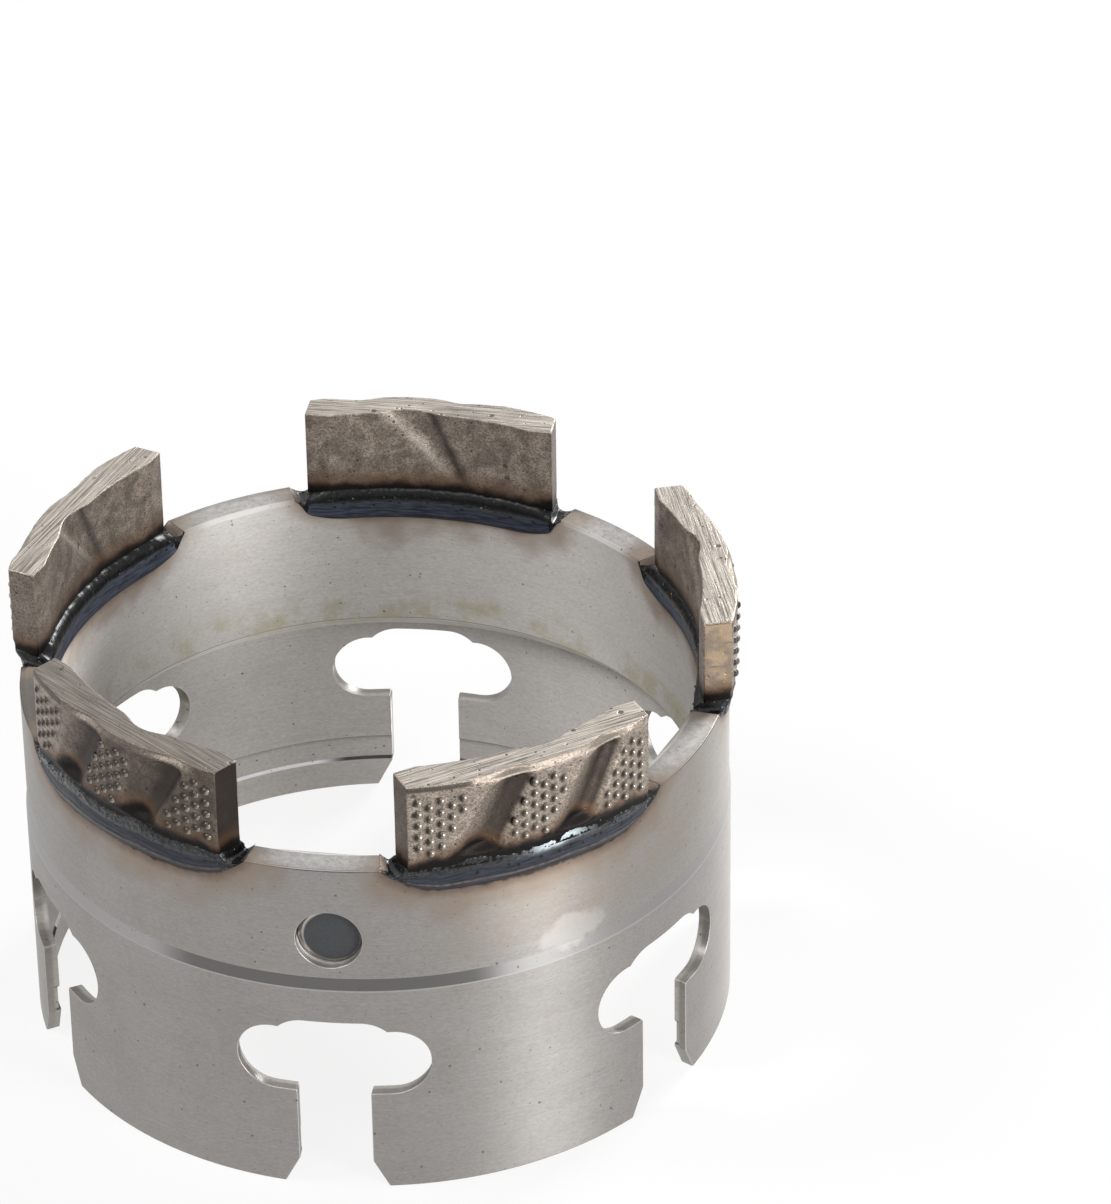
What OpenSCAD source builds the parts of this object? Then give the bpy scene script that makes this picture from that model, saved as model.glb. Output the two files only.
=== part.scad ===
// Crown ring of a core drill: a turned steel ring with six bayonet slots,
// five sintered diamond segments brazed into shallow seats in its rim,
// and a round locating pin in the wall.
// The ring stands on its skirt, its axis is Z, and the pin's slot faces -Y.

/* [Ring] */
// Height of the steel ring, without the segments
ring_h = 48; // [46:0.5:50]
// Outer diameter of the skirt
skirt_od = 90.2; // [88:0.1:92]
// Wall of the skirt, whose bore goes over the barrel's end
skirt_wall = 1.8; // [1.5:0.1:2.2]
// Step in from the skirt to the thick band, on the outside
band_step = 0.2; // [0.1:0.05:0.4]
// Wall of the thick band, which the core passes
band_wall = 3.8; // [3.4:0.1:4.2]
// Height of the thick band above its outer chamfer
band_h = 16.1; // [15:0.1:17]
// Height of that chamfer
outer_step_h = 1.7; // [1:0.1:2.5]
// Depth of the narrow bore, from the rim down to the shoulder
shoulder_depth = 19.5; // [18.5:0.1:20]
// Chamfer of the bore at the rim
rim_chamfer = 0.4; // [0.2:0.1:0.6]

/* [Relief groove] */
// Height of the lip below the relief groove
lip_h = 4.2; // [3.5:0.1:5]
// Height of the relief groove
groove_h = 3.7; // [3:0.1:4.5]
// Depth of the relief groove
groove_depth = 0.3; // [0.2:0.05:0.4]

/* [Bayonet slots] */
// Number of T slots around the skirt
slot_count = 6; // [4:1:7]
// Width of the neck that the barrel's pin comes in through
neck_w = 9.2; // [8.6:0.1:9.8]
// Width of the flared mouth at the bottom
mouth_w = 13.1; // [12:0.1:14]
// Height of the flared mouth
mouth_h = 3.9; // [3:0.1:5]
// Radius of the two side lobes
lobe_r = 4.7; // [4.4:0.1:4.8]
// Distance of each lobe's centre from the middle of the slot
lobe_x = 7.4; // [7:0.1:7.8]
// Height of the lobes' centres
lobe_z = 19.15; // [18.5:0.05:19.5]
// Rise of the slot's raised middle above the lobes' centres
crest_rise = 6.05; // [5.7:0.05:6.4]
// Half of the flat length of that raised middle
crest_x = 3.5; // [3:0.1:4]

/* [Locating pin] */
// Diameter of the pin and of its hole
pin_d = 8.2; // [7.5:0.1:9]
// Distance of the pin's centre below the rim
pin_drop = 10.5; // [9.5:0.1:11.5]
// Width of the rounded rim around the pin's flat face
pin_rim = 0.65; // [0.3:0.05:0.8]
// Distance of the face below the wall of the ring
pin_set = 0.5; // [0.2:0.1:0.8]

/* [Segments] */
// Overhang of the segments past the band, on the outside
seg_overhang = 1.1; // [0.9:0.1:1.3]
// Thickness of a segment
seg_t = 4.6; // [4:0.1:4.8]
// Straight length of a segment between its parallel ends
seg_len = 32.8; // [31:0.1:34]
// Gap between the rim and the foot of the segments, filled by the seams
seg_gap = 0.3; // [0.2:0.05:0.6]
// Angle from the pin's slot to the middle of the first segment
seg_phase = 33.7; // [32:0.1:36]
// Depth to which flats trim the inner corners, from the inner face
seg_trim = 2.25; // [2:0.05:2.4]
// Height of each segment, as ground
seg_heights = [12.3, 11.5, 12, 12, 12];
// Turn of each segment from its even place, in degrees
seg_turns = [0, 0.6, -0.7, 0.5, 0];
// Shift of each segment away from the axis
seg_shifts = [0, 0, 0, 0.4, -0.6];

/* [Segment relief] */
// Lean of the grooves from upright, in degrees
flute_lean = 28; // [24:1:32]
// Distance of the two outer grooves from the middle of the segment
flute_offset = 6.4; // [6:0.1:6.8]
// Radius of the outer grooves
flute_r = 3.4; // [3:0.1:4]
// Depth of the outer grooves
flute_depth = 1.2; // [0.8:0.1:1.5]
// Radius of the inner groove
inner_flute_r = 4; // [3.5:0.1:5]
// Depth of the inner groove
inner_flute_depth = 1.2; // [0.8:0.1:1.4]
// Distance of the inner groove from the middle of the segment
inner_flute_offset = -1; // [-1.5:0.1:0]
// Distance between columns of studs, along the face
stud_pitch = 1.344; // [1.3:0.002:1.4]
// Distance between the studs of one column
stud_row = 1.66; // [1.6:0.01:1.7]
// Diameter of a stud where it meets the face
stud_d = 1.04; // [0.9:0.02:1.1]
// Height of a stud
stud_h = 0.32; // [0.25:0.01:0.4]

/* [Brazed seams] */
// Depth of the seat that is cut into the rim
seat_depth = 3.5; // [2.5:0.1:4]
// Length that the seat is flat past the middle of the segment, to either side
seat_half = 11; // [9:0.5:13]
// Radius of the rise at each end of the seat
seat_r = 11.5; // [10:0.5:13]

/* [Hidden] */
$fn = 96;
eps = 0.01;
through = 8;                               // cutters reach this far past a wall
front = -90;                               // azimuth of the pin and of its slot
slot_pitch = 360 / slot_count;
seg_pitch = 360 / len(seg_heights);
skirt_r = skirt_od / 2;
skirt_bore_r = skirt_r - skirt_wall;
band_r = skirt_r - band_step;
core_r = band_r - band_wall;
band_z = ring_h - band_h;
shoulder_z = ring_h - shoulder_depth;
shoulder_drop = skirt_bore_r - core_r;     // the shoulder is a 45 degree cone
groove_r = skirt_bore_r + groove_depth;
crest_z = lobe_z + crest_rise;
pin_z = ring_h - pin_drop;
cut_r = band_r + seg_overhang;
seg_inner_r = cut_r - seg_t;
seg_flat_x = seg_inner_r - seg_trim;
seg_foot_z = ring_h + seg_gap;
stud_ball_r = (pow(stud_d / 2, 2) + pow(stud_h, 2)) / (2 * stud_h);
seat_z = ring_h - seat_depth;
seat_end_x = seat_half + sqrt(pow(seat_r, 2) - pow(seat_r - seat_depth, 2));
seam_bulge = seg_overhang * 0.8;           // how far a seam stands out under its segment

// Columns of studs on the left half of a face, the right half being the same turned over:
// [place in column pitches, place of the first stud in rows from the top, number of studs]
stud_columns = [
    [-11.25, 0, 5], [-10.25, 0.5, 5], [-9.25, 0, 5], [-8.25, 0.5, 3], [-7.25, 0, 2],
    [-2.5, 3, 2], [-1.5, 1.5, 4], [-0.5, 0, 5]
];
stud_top_row = 2.25;                       // rows from the middle of the face to the top stud

function seg_azimuth(i) = front + seg_phase + i * seg_pitch + seg_turns[i];

// Extrudes a flat outline, drawn as [sideways, height], outwards from the axis
module radial_extrude(from_r, to_r) {
    translate([from_r, 0, 0])
        rotate([90, 0, 90])
            linear_extrude(to_r - from_r)
                children();
}

// Section of the turned ring, drawn as [radius, height]
module ring_section() {
    polygon([
        [skirt_bore_r, 0], [skirt_r, 0], [skirt_r, band_z - outer_step_h],
        [band_r, band_z], [band_r, ring_h],
        [core_r + rim_chamfer, ring_h], [core_r, ring_h - rim_chamfer],
        [core_r, shoulder_z], [skirt_bore_r, shoulder_z - shoulder_drop],
        [skirt_bore_r, lip_h + groove_h], [groove_r, lip_h + groove_h],
        [groove_r, lip_h + groove_depth], [skirt_bore_r, lip_h]
    ]);
}

// Outline of one T slot
module slot_outline() {
    lobe_w = 2 * lobe_x;
    crest_r = neck_w / 2;
    mouth_slope = (mouth_w - neck_w) / 2 / mouth_h;
    below = 1;
    polygon([
        [-mouth_w / 2 - mouth_slope * below, -below], [mouth_w / 2 + mouth_slope * below, -below],
        [neck_w / 2, mouth_h], [neck_w / 2, lobe_z], [-neck_w / 2, lobe_z], [-neck_w / 2, mouth_h]
    ]);
    translate([-lobe_x, lobe_z - lobe_r])
        square([lobe_w, 2 * lobe_r]);
    translate([-crest_x, lobe_z])
        square([2 * crest_x, crest_z - lobe_z]);
    for (side = [-1, 1]) {
        translate([side * lobe_x, lobe_z])
            circle(lobe_r);
        translate([side * crest_x, crest_z - crest_r])
            circle(crest_r);
    }
}

// Outline of the seat that a segment's seam fills, up to the given height
module seat_outline(top_z) {
    intersection() {
        union() {
            translate([-seat_half, seat_z])
                square([2 * seat_half, 2 * seat_r]);
            for (side = [-1, 1])
                translate([side * seat_half, seat_z + seat_r])
                    circle(seat_r);
        }
        translate([-seat_end_x, seat_z])
            square([2 * seat_end_x, top_z - seat_z]);
    }
}

module crown_ring() {
    color("#a7a49f")
        difference() {
            rotate_extrude($fn = 180)
                ring_section();
            for (i = [0 : slot_count - 1])
                rotate(front + i * slot_pitch)
                    radial_extrude(core_r - through, skirt_r + through)
                        slot_outline();
            for (i = [0 : len(seg_heights) - 1])
                rotate(seg_azimuth(i))
                    radial_extrude(core_r - through, skirt_r + through)
                        seat_outline(ring_h + through);
            rotate(front)
                translate([core_r - through, 0, pin_z])
                    rotate([0, 90, 0])
                        cylinder(h = 3 * through, d = pin_d);
        }
}

// The pin is turned: a shank that fills the hole, and a face with a rounded rim
module locating_pin() {
    pin_r = pin_d / 2;
    face_r = pin_r - pin_rim;
    length = band_wall - 2 * pin_set;
    color("#3a3c3f")
        rotate(front)
            translate([core_r + pin_set, 0, pin_z])
                rotate([0, 90, 0])
                    rotate_extrude()
                        union() {
                            square([pin_r, length - pin_rim]);
                            square([face_r, length]);
                            translate([face_r, length - pin_rim])
                                intersection() {
                                    circle(pin_rim);
                                    square(pin_rim);
                                }
                        }
}

// One stud, placed by its distance along the face and its height
module stud(along, height) {
    rotate(along / cut_r * 180 / PI)
        translate([cut_r + stud_h - stud_ball_r, 0, height])
            sphere(stud_ball_r, $fn = 24);
}

module studs(middle_z) {
    for (half = [1, -1])
        for (c = stud_columns)
            for (n = [0 : c[2] - 1])
                stud(half * c[0] * stud_pitch, middle_z + half * stud_row * (stud_top_row - c[1] - n));
}

// A leaning cutter for a groove, at an angle around the axis
module flute(along_angle, distance, radius, middle_z) {
    rotate(along_angle)
        translate([distance, 0, middle_z])
            rotate([-flute_lean, 0, 0])
                cylinder(h = 2 * cut_r, r = radius, center = true);
}

module segment(i) {
    height = seg_heights[i];
    middle_z = seg_foot_z + height / 2;
    outer_angle = asin(flute_offset / cut_r);
    inner_angle = asin(inner_flute_offset / seg_inner_r);
    color("#7d736a")
        rotate(seg_azimuth(i))
            translate([seg_shifts[i], 0, 0])
                union() {
                    difference() {
                        intersection() {
                            translate([0, 0, seg_foot_z])
                                difference() {
                                    cylinder(h = height, r = cut_r);
                                    translate([0, 0, -1])
                                        cylinder(h = height + 2, r = seg_inner_r);
                                }
                            translate([seg_flat_x, -seg_len / 2, seg_foot_z - 1])
                                cube([cut_r, seg_len, height + 2]);
                        }
                        for (side = [-1, 1])
                            flute(side * outer_angle, cut_r + flute_r - flute_depth, flute_r, middle_z);
                        flute(inner_angle, seg_inner_r - inner_flute_r + inner_flute_depth, inner_flute_r,
                            middle_z);
                    }
                    studs(middle_z);
                }
}

// Section of a seam, drawn as [radius, height]: flush with the wall below, bulging at the foot
module seam_section() {
    inner_bulge = seam_bulge / 3;
    polygon([
        [core_r, seat_z - eps], [band_r, seat_z - eps],
        [band_r + seam_bulge * 0.55, seat_z + seat_depth * 0.3],
        [band_r + seam_bulge * 0.9, seat_z + seat_depth * 0.62], [band_r + seam_bulge, seg_foot_z],
        [core_r - inner_bulge, seg_foot_z], [core_r - inner_bulge, seat_z + seat_depth * 0.5]
    ]);
}

module braze_seam(i) {
    color("#2c2f34")
        rotate(seg_azimuth(i))
            intersection() {
                rotate_extrude($fn = 180)
                    seam_section();
                radial_extrude(core_r - through, band_r + through)
                    seat_outline(seg_foot_z);
            }
}

crown_ring();
locating_pin();
segment(0);  // segment_1
segment(1);  // segment_2
segment(2);  // segment_3
segment(3);  // segment_4
segment(4);  // segment_5
braze_seam(0);  // braze_seam_1
braze_seam(1);  // braze_seam_2
braze_seam(2);  // braze_seam_3
braze_seam(3);  // braze_seam_4
braze_seam(4);  // braze_seam_5
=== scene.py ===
# %% [markdown]
# # Crown of a core drill bit
# The crown is a turned steel ring that a barrel's pins lock into from below. Five diamond segments are brazed
# into shallow seats in its rim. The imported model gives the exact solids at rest. This script keeps their
# places and gives each one the shape and finish that can be seen close up: broken edges, turning marks,
# sintered grain, and the dark glassy seams. All sizes in the script are millimetres unless a comment says
# otherwise, and a mesh is scaled to metres when it is made.

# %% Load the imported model
import math
from collections import namedtuple

import bmesh
import bpy
import numpy as np
from mathutils import Matrix, Vector, geometry, kdtree, noise


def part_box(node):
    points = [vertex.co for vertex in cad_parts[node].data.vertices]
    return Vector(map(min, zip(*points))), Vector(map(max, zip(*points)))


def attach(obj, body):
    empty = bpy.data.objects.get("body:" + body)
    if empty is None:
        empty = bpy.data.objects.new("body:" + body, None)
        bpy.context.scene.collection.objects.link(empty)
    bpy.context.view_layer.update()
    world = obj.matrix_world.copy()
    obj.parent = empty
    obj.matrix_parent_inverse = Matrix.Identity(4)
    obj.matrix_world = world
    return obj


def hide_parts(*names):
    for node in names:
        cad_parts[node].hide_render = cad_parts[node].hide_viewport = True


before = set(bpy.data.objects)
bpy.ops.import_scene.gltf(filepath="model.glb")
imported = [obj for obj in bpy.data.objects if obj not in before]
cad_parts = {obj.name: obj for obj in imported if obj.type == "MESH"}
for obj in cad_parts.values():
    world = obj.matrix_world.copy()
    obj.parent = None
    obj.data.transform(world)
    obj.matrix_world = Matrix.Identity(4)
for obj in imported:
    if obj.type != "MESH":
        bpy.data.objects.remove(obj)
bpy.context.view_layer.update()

MM = 0.001
ring_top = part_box("crown_ring")[1] / MM
ring_h = ring_top.z
skirt_r = ring_top.x
print("ring:", round(ring_h, 2), "mm high, skirt radius", round(skirt_r, 2))

# %% [markdown]
# ## Sizes
# These repeat the sizes of the part's source, because the looks have to meet the solids. Angles are measured
# from the slot under the locating pin, which faces -Y, and grow counter-clockwise seen from above.

# %% Sizes of the ring
band_step = 0.2
band_wall = 3.8
band_h = 16.1
outer_step_h = 1.7
skirt_wall = 1.8
shoulder_depth = 19.5
rim_chamfer = 0.4
lip_h = 4.2
groove_h = 3.7
groove_depth = 0.3
band_r = skirt_r - band_step
core_r = band_r - band_wall
skirt_bore_r = skirt_r - skirt_wall
groove_r = skirt_bore_r + groove_depth
band_z = ring_h - band_h
shoulder_z = ring_h - shoulder_depth
FRONT = -90.0

# %% Sizes of the slots, the pin, the segments and their seats
neck_w, mouth_w, mouth_h = 9.2, 13.1, 3.9
lobe_r, lobe_x, lobe_z = 4.7, 7.4, 19.15
crest_r, crest_x, crest_z = 4.6, 3.5, 25.2
pin_r, pin_z = 4.1, ring_h - 10.5
cut_r = band_r + 1.1
seg_inner_r = cut_r - 4.6
seg_flat_x = seg_inner_r - 2.25
seg_half = 16.4
seg_foot_z = ring_h + 0.3
seg_turns = [0, 0.6, -0.7, 0.5, 0]
seg_shifts = [0, 0, 0, 0.4, -0.6]
seat_z = ring_h - 3.5
seat_half, seat_r = 11.0, 11.5
seat_end = seat_half + math.sqrt(seat_r ** 2 - (seat_z + seat_r - ring_h) ** 2)
slot_angles = [60 * k for k in range(6)]
seg_angles = [33.7 + 72 * k + seg_turns[k] for k in range(5)]

# %% [markdown]
# ## Camera
# The photograph was taken with a long lens from above and slightly to the right of the pin. The camera stands
# there, and is turned so that the crown sits low and left in the picture, as it does in the photograph.
# Turning the camera keeps the lens free of any shift.

# %% Camera
PICTURE_W, PICTURE_H = 1111, 1204
SENSOR_MM = 36.0
LENS_PX = 6176.4
AIM_PX = (378.2, 760.8)
camera_angle = FRONT + 8.7
camera_rise = 34.36
camera_roll = -1.965
camera_distance = 790.3
aim_z = 33.4


def direction(azimuth, rise):
    """Unit vector from the axis towards an azimuth and a height angle, in degrees."""
    a, e = math.radians(azimuth), math.radians(rise)
    return Vector((math.cos(a) * math.cos(e), math.sin(a) * math.cos(e), math.sin(e)))


def place_camera():
    back = direction(camera_angle, camera_rise)
    spot = (Vector((0, 0, aim_z)) + back * camera_distance) * MM
    right = Vector((0, 0, 1)).cross(back).normalized()
    up = back.cross(right)
    level = Matrix((right, up, back)).transposed()
    roll = Matrix.Rotation(math.radians(camera_roll), 3, "Z")
    side = math.atan((PICTURE_W / 2 - AIM_PX[0]) / LENS_PX)
    lift = math.atan((AIM_PX[1] - PICTURE_H / 2) / LENS_PX)
    turn = Matrix.Rotation(-side, 3, "Y") @ Matrix.Rotation(lift, 3, "X")
    data = bpy.data.cameras.new("photo_camera")
    data.sensor_fit = "VERTICAL"
    data.sensor_height = SENSOR_MM
    data.lens = LENS_PX * SENSOR_MM / PICTURE_H
    camera = bpy.data.objects.new("photo_camera", data)
    camera.matrix_world = Matrix.Translation(spot) @ (level @ roll @ turn).to_4x4()
    bpy.context.scene.collection.objects.link(camera)
    bpy.context.scene.camera = camera
    return camera


camera = place_camera()
print("camera lens", round(camera.data.lens, 1), "mm at", [round(c, 3) for c in camera.location])

# %% [markdown]
# ## Helpers for meshes
# The ring is built patch by patch, and every patch knows its exact surface normals, so that a turned wall
# looks perfectly smooth with few faces. A small collector joins the patches: points that lie in the same
# place become one vertex.


# %% Pieces and their values
def new_piece(name, points, faces):
    """A mesh object with smooth shading, in the scene."""
    mesh = bpy.data.meshes.new(name)
    mesh.from_pydata(points, [], faces)
    mesh.shade_smooth()
    piece = bpy.data.objects.new(name, mesh)
    bpy.context.scene.collection.objects.link(piece)
    return piece


def set_values(mesh, **columns):
    """Gives the points of a mesh named numbers, or named triples of numbers."""
    for name, values in columns.items():
        values = np.asarray(values, dtype=np.float32)
        kind, field = ("FLOAT_VECTOR", "vector") if values.ndim == 2 else ("FLOAT", "value")
        mesh.attributes.new(name, kind, "POINT").data.foreach_set(field, values.ravel())


def tube_faces(rings, around, flip=False):
    """Quads between neighbouring rings of points, and the point numbers of the first and the last ring."""
    grid = np.arange(rings * around).reshape(rings, around)
    near, far = grid[:-1], grid[1:]
    corners = [near, np.roll(near, -1, axis=1), np.roll(far, -1, axis=1), far]
    if flip:
        corners = [near] + corners[:0:-1]
    return np.stack(corners, axis=2).reshape(-1, 4).tolist(), grid[0].tolist(), grid[-1].tolist()


# %% Mesh collector
class Patches:
    """Collects points with normals and named values, welds equal points, and makes one mesh object."""

    def __init__(self):
        self.points, self.normals, self.values, self.faces, self.seen = [], [], [], [], {}

    def point(self, place, normal, values):
        key = tuple(round(c, 3) for c in place)
        if key not in self.seen:
            self.seen[key] = len(self.points)
            self.points.append(tuple(c * MM for c in place))
            self.normals.append(normal)
            self.values.append(values)
        return self.seen[key]

    def face(self, corners):
        corners = [c for k, c in enumerate(corners) if c != corners[k - 1]]
        if len(corners) > 2:
            self.faces.append(corners)

    def build(self, name, value_names):
        piece = new_piece(name, self.points, self.faces)
        piece.data.normals_split_custom_set_from_vertices(self.normals)
        set_values(piece.data, **dict(zip(value_names, zip(*self.values))))
        return piece


def open_edges(piece):
    """Counts edges that don't have exactly two faces (a closed solid has none), and gives the volume."""
    solid = bmesh.new()
    solid.from_mesh(piece.data)
    count = sum(len(e.link_faces) != 2 for e in solid.edges)
    volume = solid.calc_volume() / MM ** 3
    solid.free()
    return count, round(volume, 1)


# %% [markdown]
# ## The ring's profile
# A lathe gives every height one outer and one inner radius. Both profiles are short lists of corners, and the
# radius in between follows a straight line. Very short steps beside each corner keep the shading crisp there.

# %% Profiles
outer_profile = [
    (-1, skirt_r), (band_z - outer_step_h, skirt_r), (band_z, band_r), (ring_h + 1, band_r),
]
inner_profile = [
    (-1, skirt_bore_r), (lip_h, skirt_bore_r), (lip_h + groove_depth, groove_r),
    (lip_h + groove_h - 0.12, groove_r), (lip_h + groove_h, skirt_bore_r),
    (shoulder_z - (skirt_bore_r - core_r), skirt_bore_r), (shoulder_z, core_r),
    (ring_h - rim_chamfer, core_r), (ring_h + 1, core_r + rim_chamfer + 1),
]
CRISP = 0.06                                   # distance of the extra rows from a corner


def turned(profile, z):
    """Radius of a profile at a height."""
    return np.interp(z, [p[0] for p in profile], [p[1] for p in profile])


def slope(profile, z):
    """How fast a profile's radius grows with height."""
    return (turned(profile, z + CRISP) - turned(profile, z - CRISP)) / (2 * CRISP)


def levels(profile):
    """Heights at which the mesh needs a row of edges."""
    corners = [p[0] for p in profile if 0 < p[0] < ring_h]
    return sorted({round(z + d, 3) for z in corners for d in (-CRISP, 0, CRISP)})


print("rows on the inside:", levels(inner_profile))

# %% [markdown]
# ## Outlines of the slots and seats
# Each T slot is milled straight through the wall, so its outline is flat: sideways distance and height. Two
# round lobes make its arms, and two smaller arcs its raised middle. Sharp corners get a tiny radius, as a
# deburred edge has, and that also gives the light something to catch.


# %% Outline helpers
def arc(middle, radius, start, end, step=7.0):
    """Points along an arc, angles in degrees."""
    count = max(1, math.ceil(abs(end - start) / step))
    turns = [math.radians(start + (end - start) * k / count) for k in range(count + 1)]
    return [(middle[0] + radius * math.cos(a), middle[1] + radius * math.sin(a)) for a in turns]


def eased(path, radius):
    """Rounds the sharp corners of an open path."""
    out = [path[0]]
    for before, here, after in zip(path, path[1:], path[2:]):
        a, b, c = Vector(before), Vector(here), Vector(after)
        turn = (b - a).angle(c - b)
        if turn < math.radians(16):
            out.append(here)
            continue
        reach = min(radius * math.tan(turn / 2), 0.45 * (b - a).length, 0.45 * (c - b).length)
        start, end = b + (a - b).normalized() * reach, b + (c - b).normalized() * reach
        for k in range(5):
            f = k / 4
            out.append(tuple(start * (1 - f) ** 2 + b * 2 * f * (1 - f) + end * f ** 2))
    return out + [path[-1]]


def divided(path, longest=1.1):
    """Splits long straight stretches."""
    out = [path[0]]
    for a, b in zip(path, path[1:]):
        count = max(1, math.ceil(math.dist(a, b) / longest))
        shares = [k / count for k in range(1, count + 1)]
        out += [tuple(p + (q - p) * f for p, q in zip(a, b)) for f in shares]
    return out


# %% Slot and seat outlines
EDGE = 0.15                                    # radius of the rounded edges


def slot_path():
    """From the left foot of the mouth, over the top, to the right foot."""
    crest, lobe = (crest_x, crest_z - crest_r), (lobe_x, lobe_z)
    dx, dz = lobe[0] - crest[0], lobe[1] - crest[1]
    apart = math.hypot(dx, dz)
    along = (apart ** 2 + crest_r ** 2 - lobe_r ** 2) / (2 * apart)
    off = math.sqrt(crest_r ** 2 - along ** 2)
    meet = (crest[0] + (along * dx - off * dz) / apart, crest[1] + (along * dz + off * dx) / apart)
    on_crest = math.degrees(math.atan2(meet[1] - crest[1], meet[0] - crest[0]))
    on_lobe = math.degrees(math.atan2(meet[1] - lobe[1], meet[0] - lobe[0]))
    half = [(0, crest_z)] + arc(crest, crest_r, 90, on_crest) + arc(lobe, lobe_r, on_lobe, -90)[1:]
    half += [(neck_w / 2, lobe_z - lobe_r), (neck_w / 2, mouth_h), (mouth_w / 2, 0), (mouth_w / 2 + 0.3, 0)]
    whole = [(-t, z) for t, z in reversed(half)] + half[1:]
    return divided(eased(whole, 2 * EDGE))


def seat_path():
    """From the left end of a seat, down and along its floor, to the right end."""
    centre_z = seat_z + seat_r
    rise = math.degrees(math.asin((centre_z - ring_h) / seat_r))
    right = arc((seat_half, centre_z), seat_r, -90, -rise, 4.0) + [(seat_end + 0.3, ring_h)]
    whole = [(-t, z) for t, z in reversed(right)] + right
    return divided(eased(whole, 2 * EDGE))


print("slot outline:", len(slot_path()), "points, seat outline:", len(seat_path()), "points")

# %% [markdown]
# ## Borders of the ring's walls
# Unrolled, each wall of the ring is a long strip. Its lower border dips into the slots, its upper border dips
# into the seats, and one round hole takes the pin. A border point is stored as the angle of the cutter that
# made it, its sideways distance from that cutter's middle, and its height. A straight cutter meets the outer
# and the inner wall at slightly different angles, and this gives both.

# %% Borders
CUT_LINE = 142.5                               # the strip is opened here, where both borders are plain
ROW_GAP = 1.3
LOOK_R = 45.0                                  # radius at which the strip's length is measured


def plain(start, end, z):
    """Border points on a stretch with no cutter, ends left out."""
    count = max(2, math.ceil(math.radians(abs(end - start)) * LOOK_R / ROW_GAP))
    return [(start + (end - start) * k / count, 0.0, z) for k in range(1, count)]


def border(centres, path, z):
    """One open border from CUT_LINE - 360 to CUT_LINE, with a path cut into it at each centre."""
    reach = math.degrees(math.asin(path[-1][0] / turned(inner_profile, z))) + 0.1
    rows = [(CUT_LINE - 360, 0.0, z)]
    for centre in centres:
        rows += plain(rows[-1][0] if len(rows) == 1 else rows[-1][0] + reach, centre - reach, z)
        rows += [(centre, t, height) for t, height in path]
    return np.array(rows + plain(centres[-1] + reach, CUT_LINE, z) + [(CUT_LINE, 0.0, z)])


def in_range(angles):
    return sorted((a - CUT_LINE) % 360 + CUT_LINE - 360 for a in angles)


hole = [(0.0, t, z) for t, z in reversed(arc((0, pin_z), pin_r, 0, 360, 7.5)[:-1])]
borders = [
    (border(in_range(slot_angles), slot_path(), 0.0), False),
    (border(in_range(seg_angles), seat_path(), ring_h)[::-1], False),
    (np.array(hole), True),
]
print("border points:", [len(rows) for rows, closed in borders])

# %% [markdown]
# ## Broken edges
# Where a wall meets a cut, the edge is rounded by EDGE. The border is therefore drawn three times: set back
# into the wall, half way, and on the cut face itself, each a little deeper than the one before. The faces
# between them are the rounded edge.


# %% Moved borders
def moved(path, distance, closed):
    """An outline moved to its left by a distance, with mitred corners."""
    ring = np.vstack([path[-1:], path, path[:1]]) if closed else path
    step = np.diff(ring, axis=0)
    side = np.stack([-step[:, 1], step[:, 0]], axis=1) / np.linalg.norm(step, axis=1)[:, None]
    if not closed:
        side = np.vstack([side[:1], side, side[-1:]])
    mitre = side[:-1] + side[1:]
    mitre /= np.linalg.norm(mitre, axis=1)[:, None]
    return path + distance * mitre / np.maximum(0.5, (mitre * side[1:]).sum(axis=1))[:, None]


# %% Cuts seen on the walls
RADIAL_FROM, RADIAL_OVER = 15.5, 3.5           # where along a seat its cut turns radial, and how softly


def radial_share(t, z):
    """How far a cut is radial instead of straight: only the ends of the seats are."""
    f = np.clip((np.abs(t) - RADIAL_FROM) / RADIAL_OVER, 0, 1) * (z > seat_z - 1)
    return f * f * (3 - 2 * f)


def cut_angle(t, radius, z):
    """Angle from a cutter's middle, in radians, at which its cut at a sideways distance meets a radius."""
    return np.arcsin(t / (radius + (LOOK_R - radius) * radial_share(t, z)))


def strip_place(rows, profile):
    """Where border rows lie on a wall's unrolled strip: length along it, and height."""
    angle = np.radians(rows[:, 0]) + cut_angle(rows[:, 1], turned(profile, rows[:, 2]), rows[:, 2])
    return np.stack([angle * LOOK_R, rows[:, 2]], axis=1)


def cut_normals(rows, closed):
    """Normals of the cut faces along a border, pointing into the opening."""
    middle, t, z = np.radians(FRONT + rows[:, 0]), rows[:, 1], rows[:, 2]
    radius = band_r - band_wall / 2
    turn = middle + cut_angle(t, radius, z)
    place = np.stack([np.cos(turn) * radius, np.sin(turn) * radius, z], axis=1)
    turn = middle + cut_angle(t, radius, z) * radial_share(t, z)
    out = np.stack([np.cos(turn), np.sin(turn), 0 * turn], axis=1)
    ring = np.vstack([place[-1:], place, place[:1]]) if closed else place
    axis = np.vstack([out[-1:], out]) if closed else (out[:-1] + out[1:]) / 2
    side = np.cross(np.diff(ring, axis=0), axis)
    side /= np.linalg.norm(side, axis=1)[:, None]
    if not closed:
        side = np.vstack([side[:1], side, side[-1:]])
    both = side[:-1] + side[1:]
    return both / np.linalg.norm(both, axis=1)[:, None]


# %% Steps of the rounding
ROUNDING = [0.0, 45.0, 90.0]                   # degrees turned from the wall to the cut face


def edge_loops(rows, profile, closed):
    """For each step of the rounding: its places on the strip, and its depth under the wall."""
    flat = strip_place(rows, profile)
    loops = []
    for turn in ROUNDING:
        back = EDGE * (1 - math.sin(math.radians(turn)))
        loops.append((moved(flat, back, closed), EDGE * (1 - math.cos(math.radians(turn)))))
    return loops


TOUCHING = 0.02                                # heights nearer than this count as the same


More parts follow.
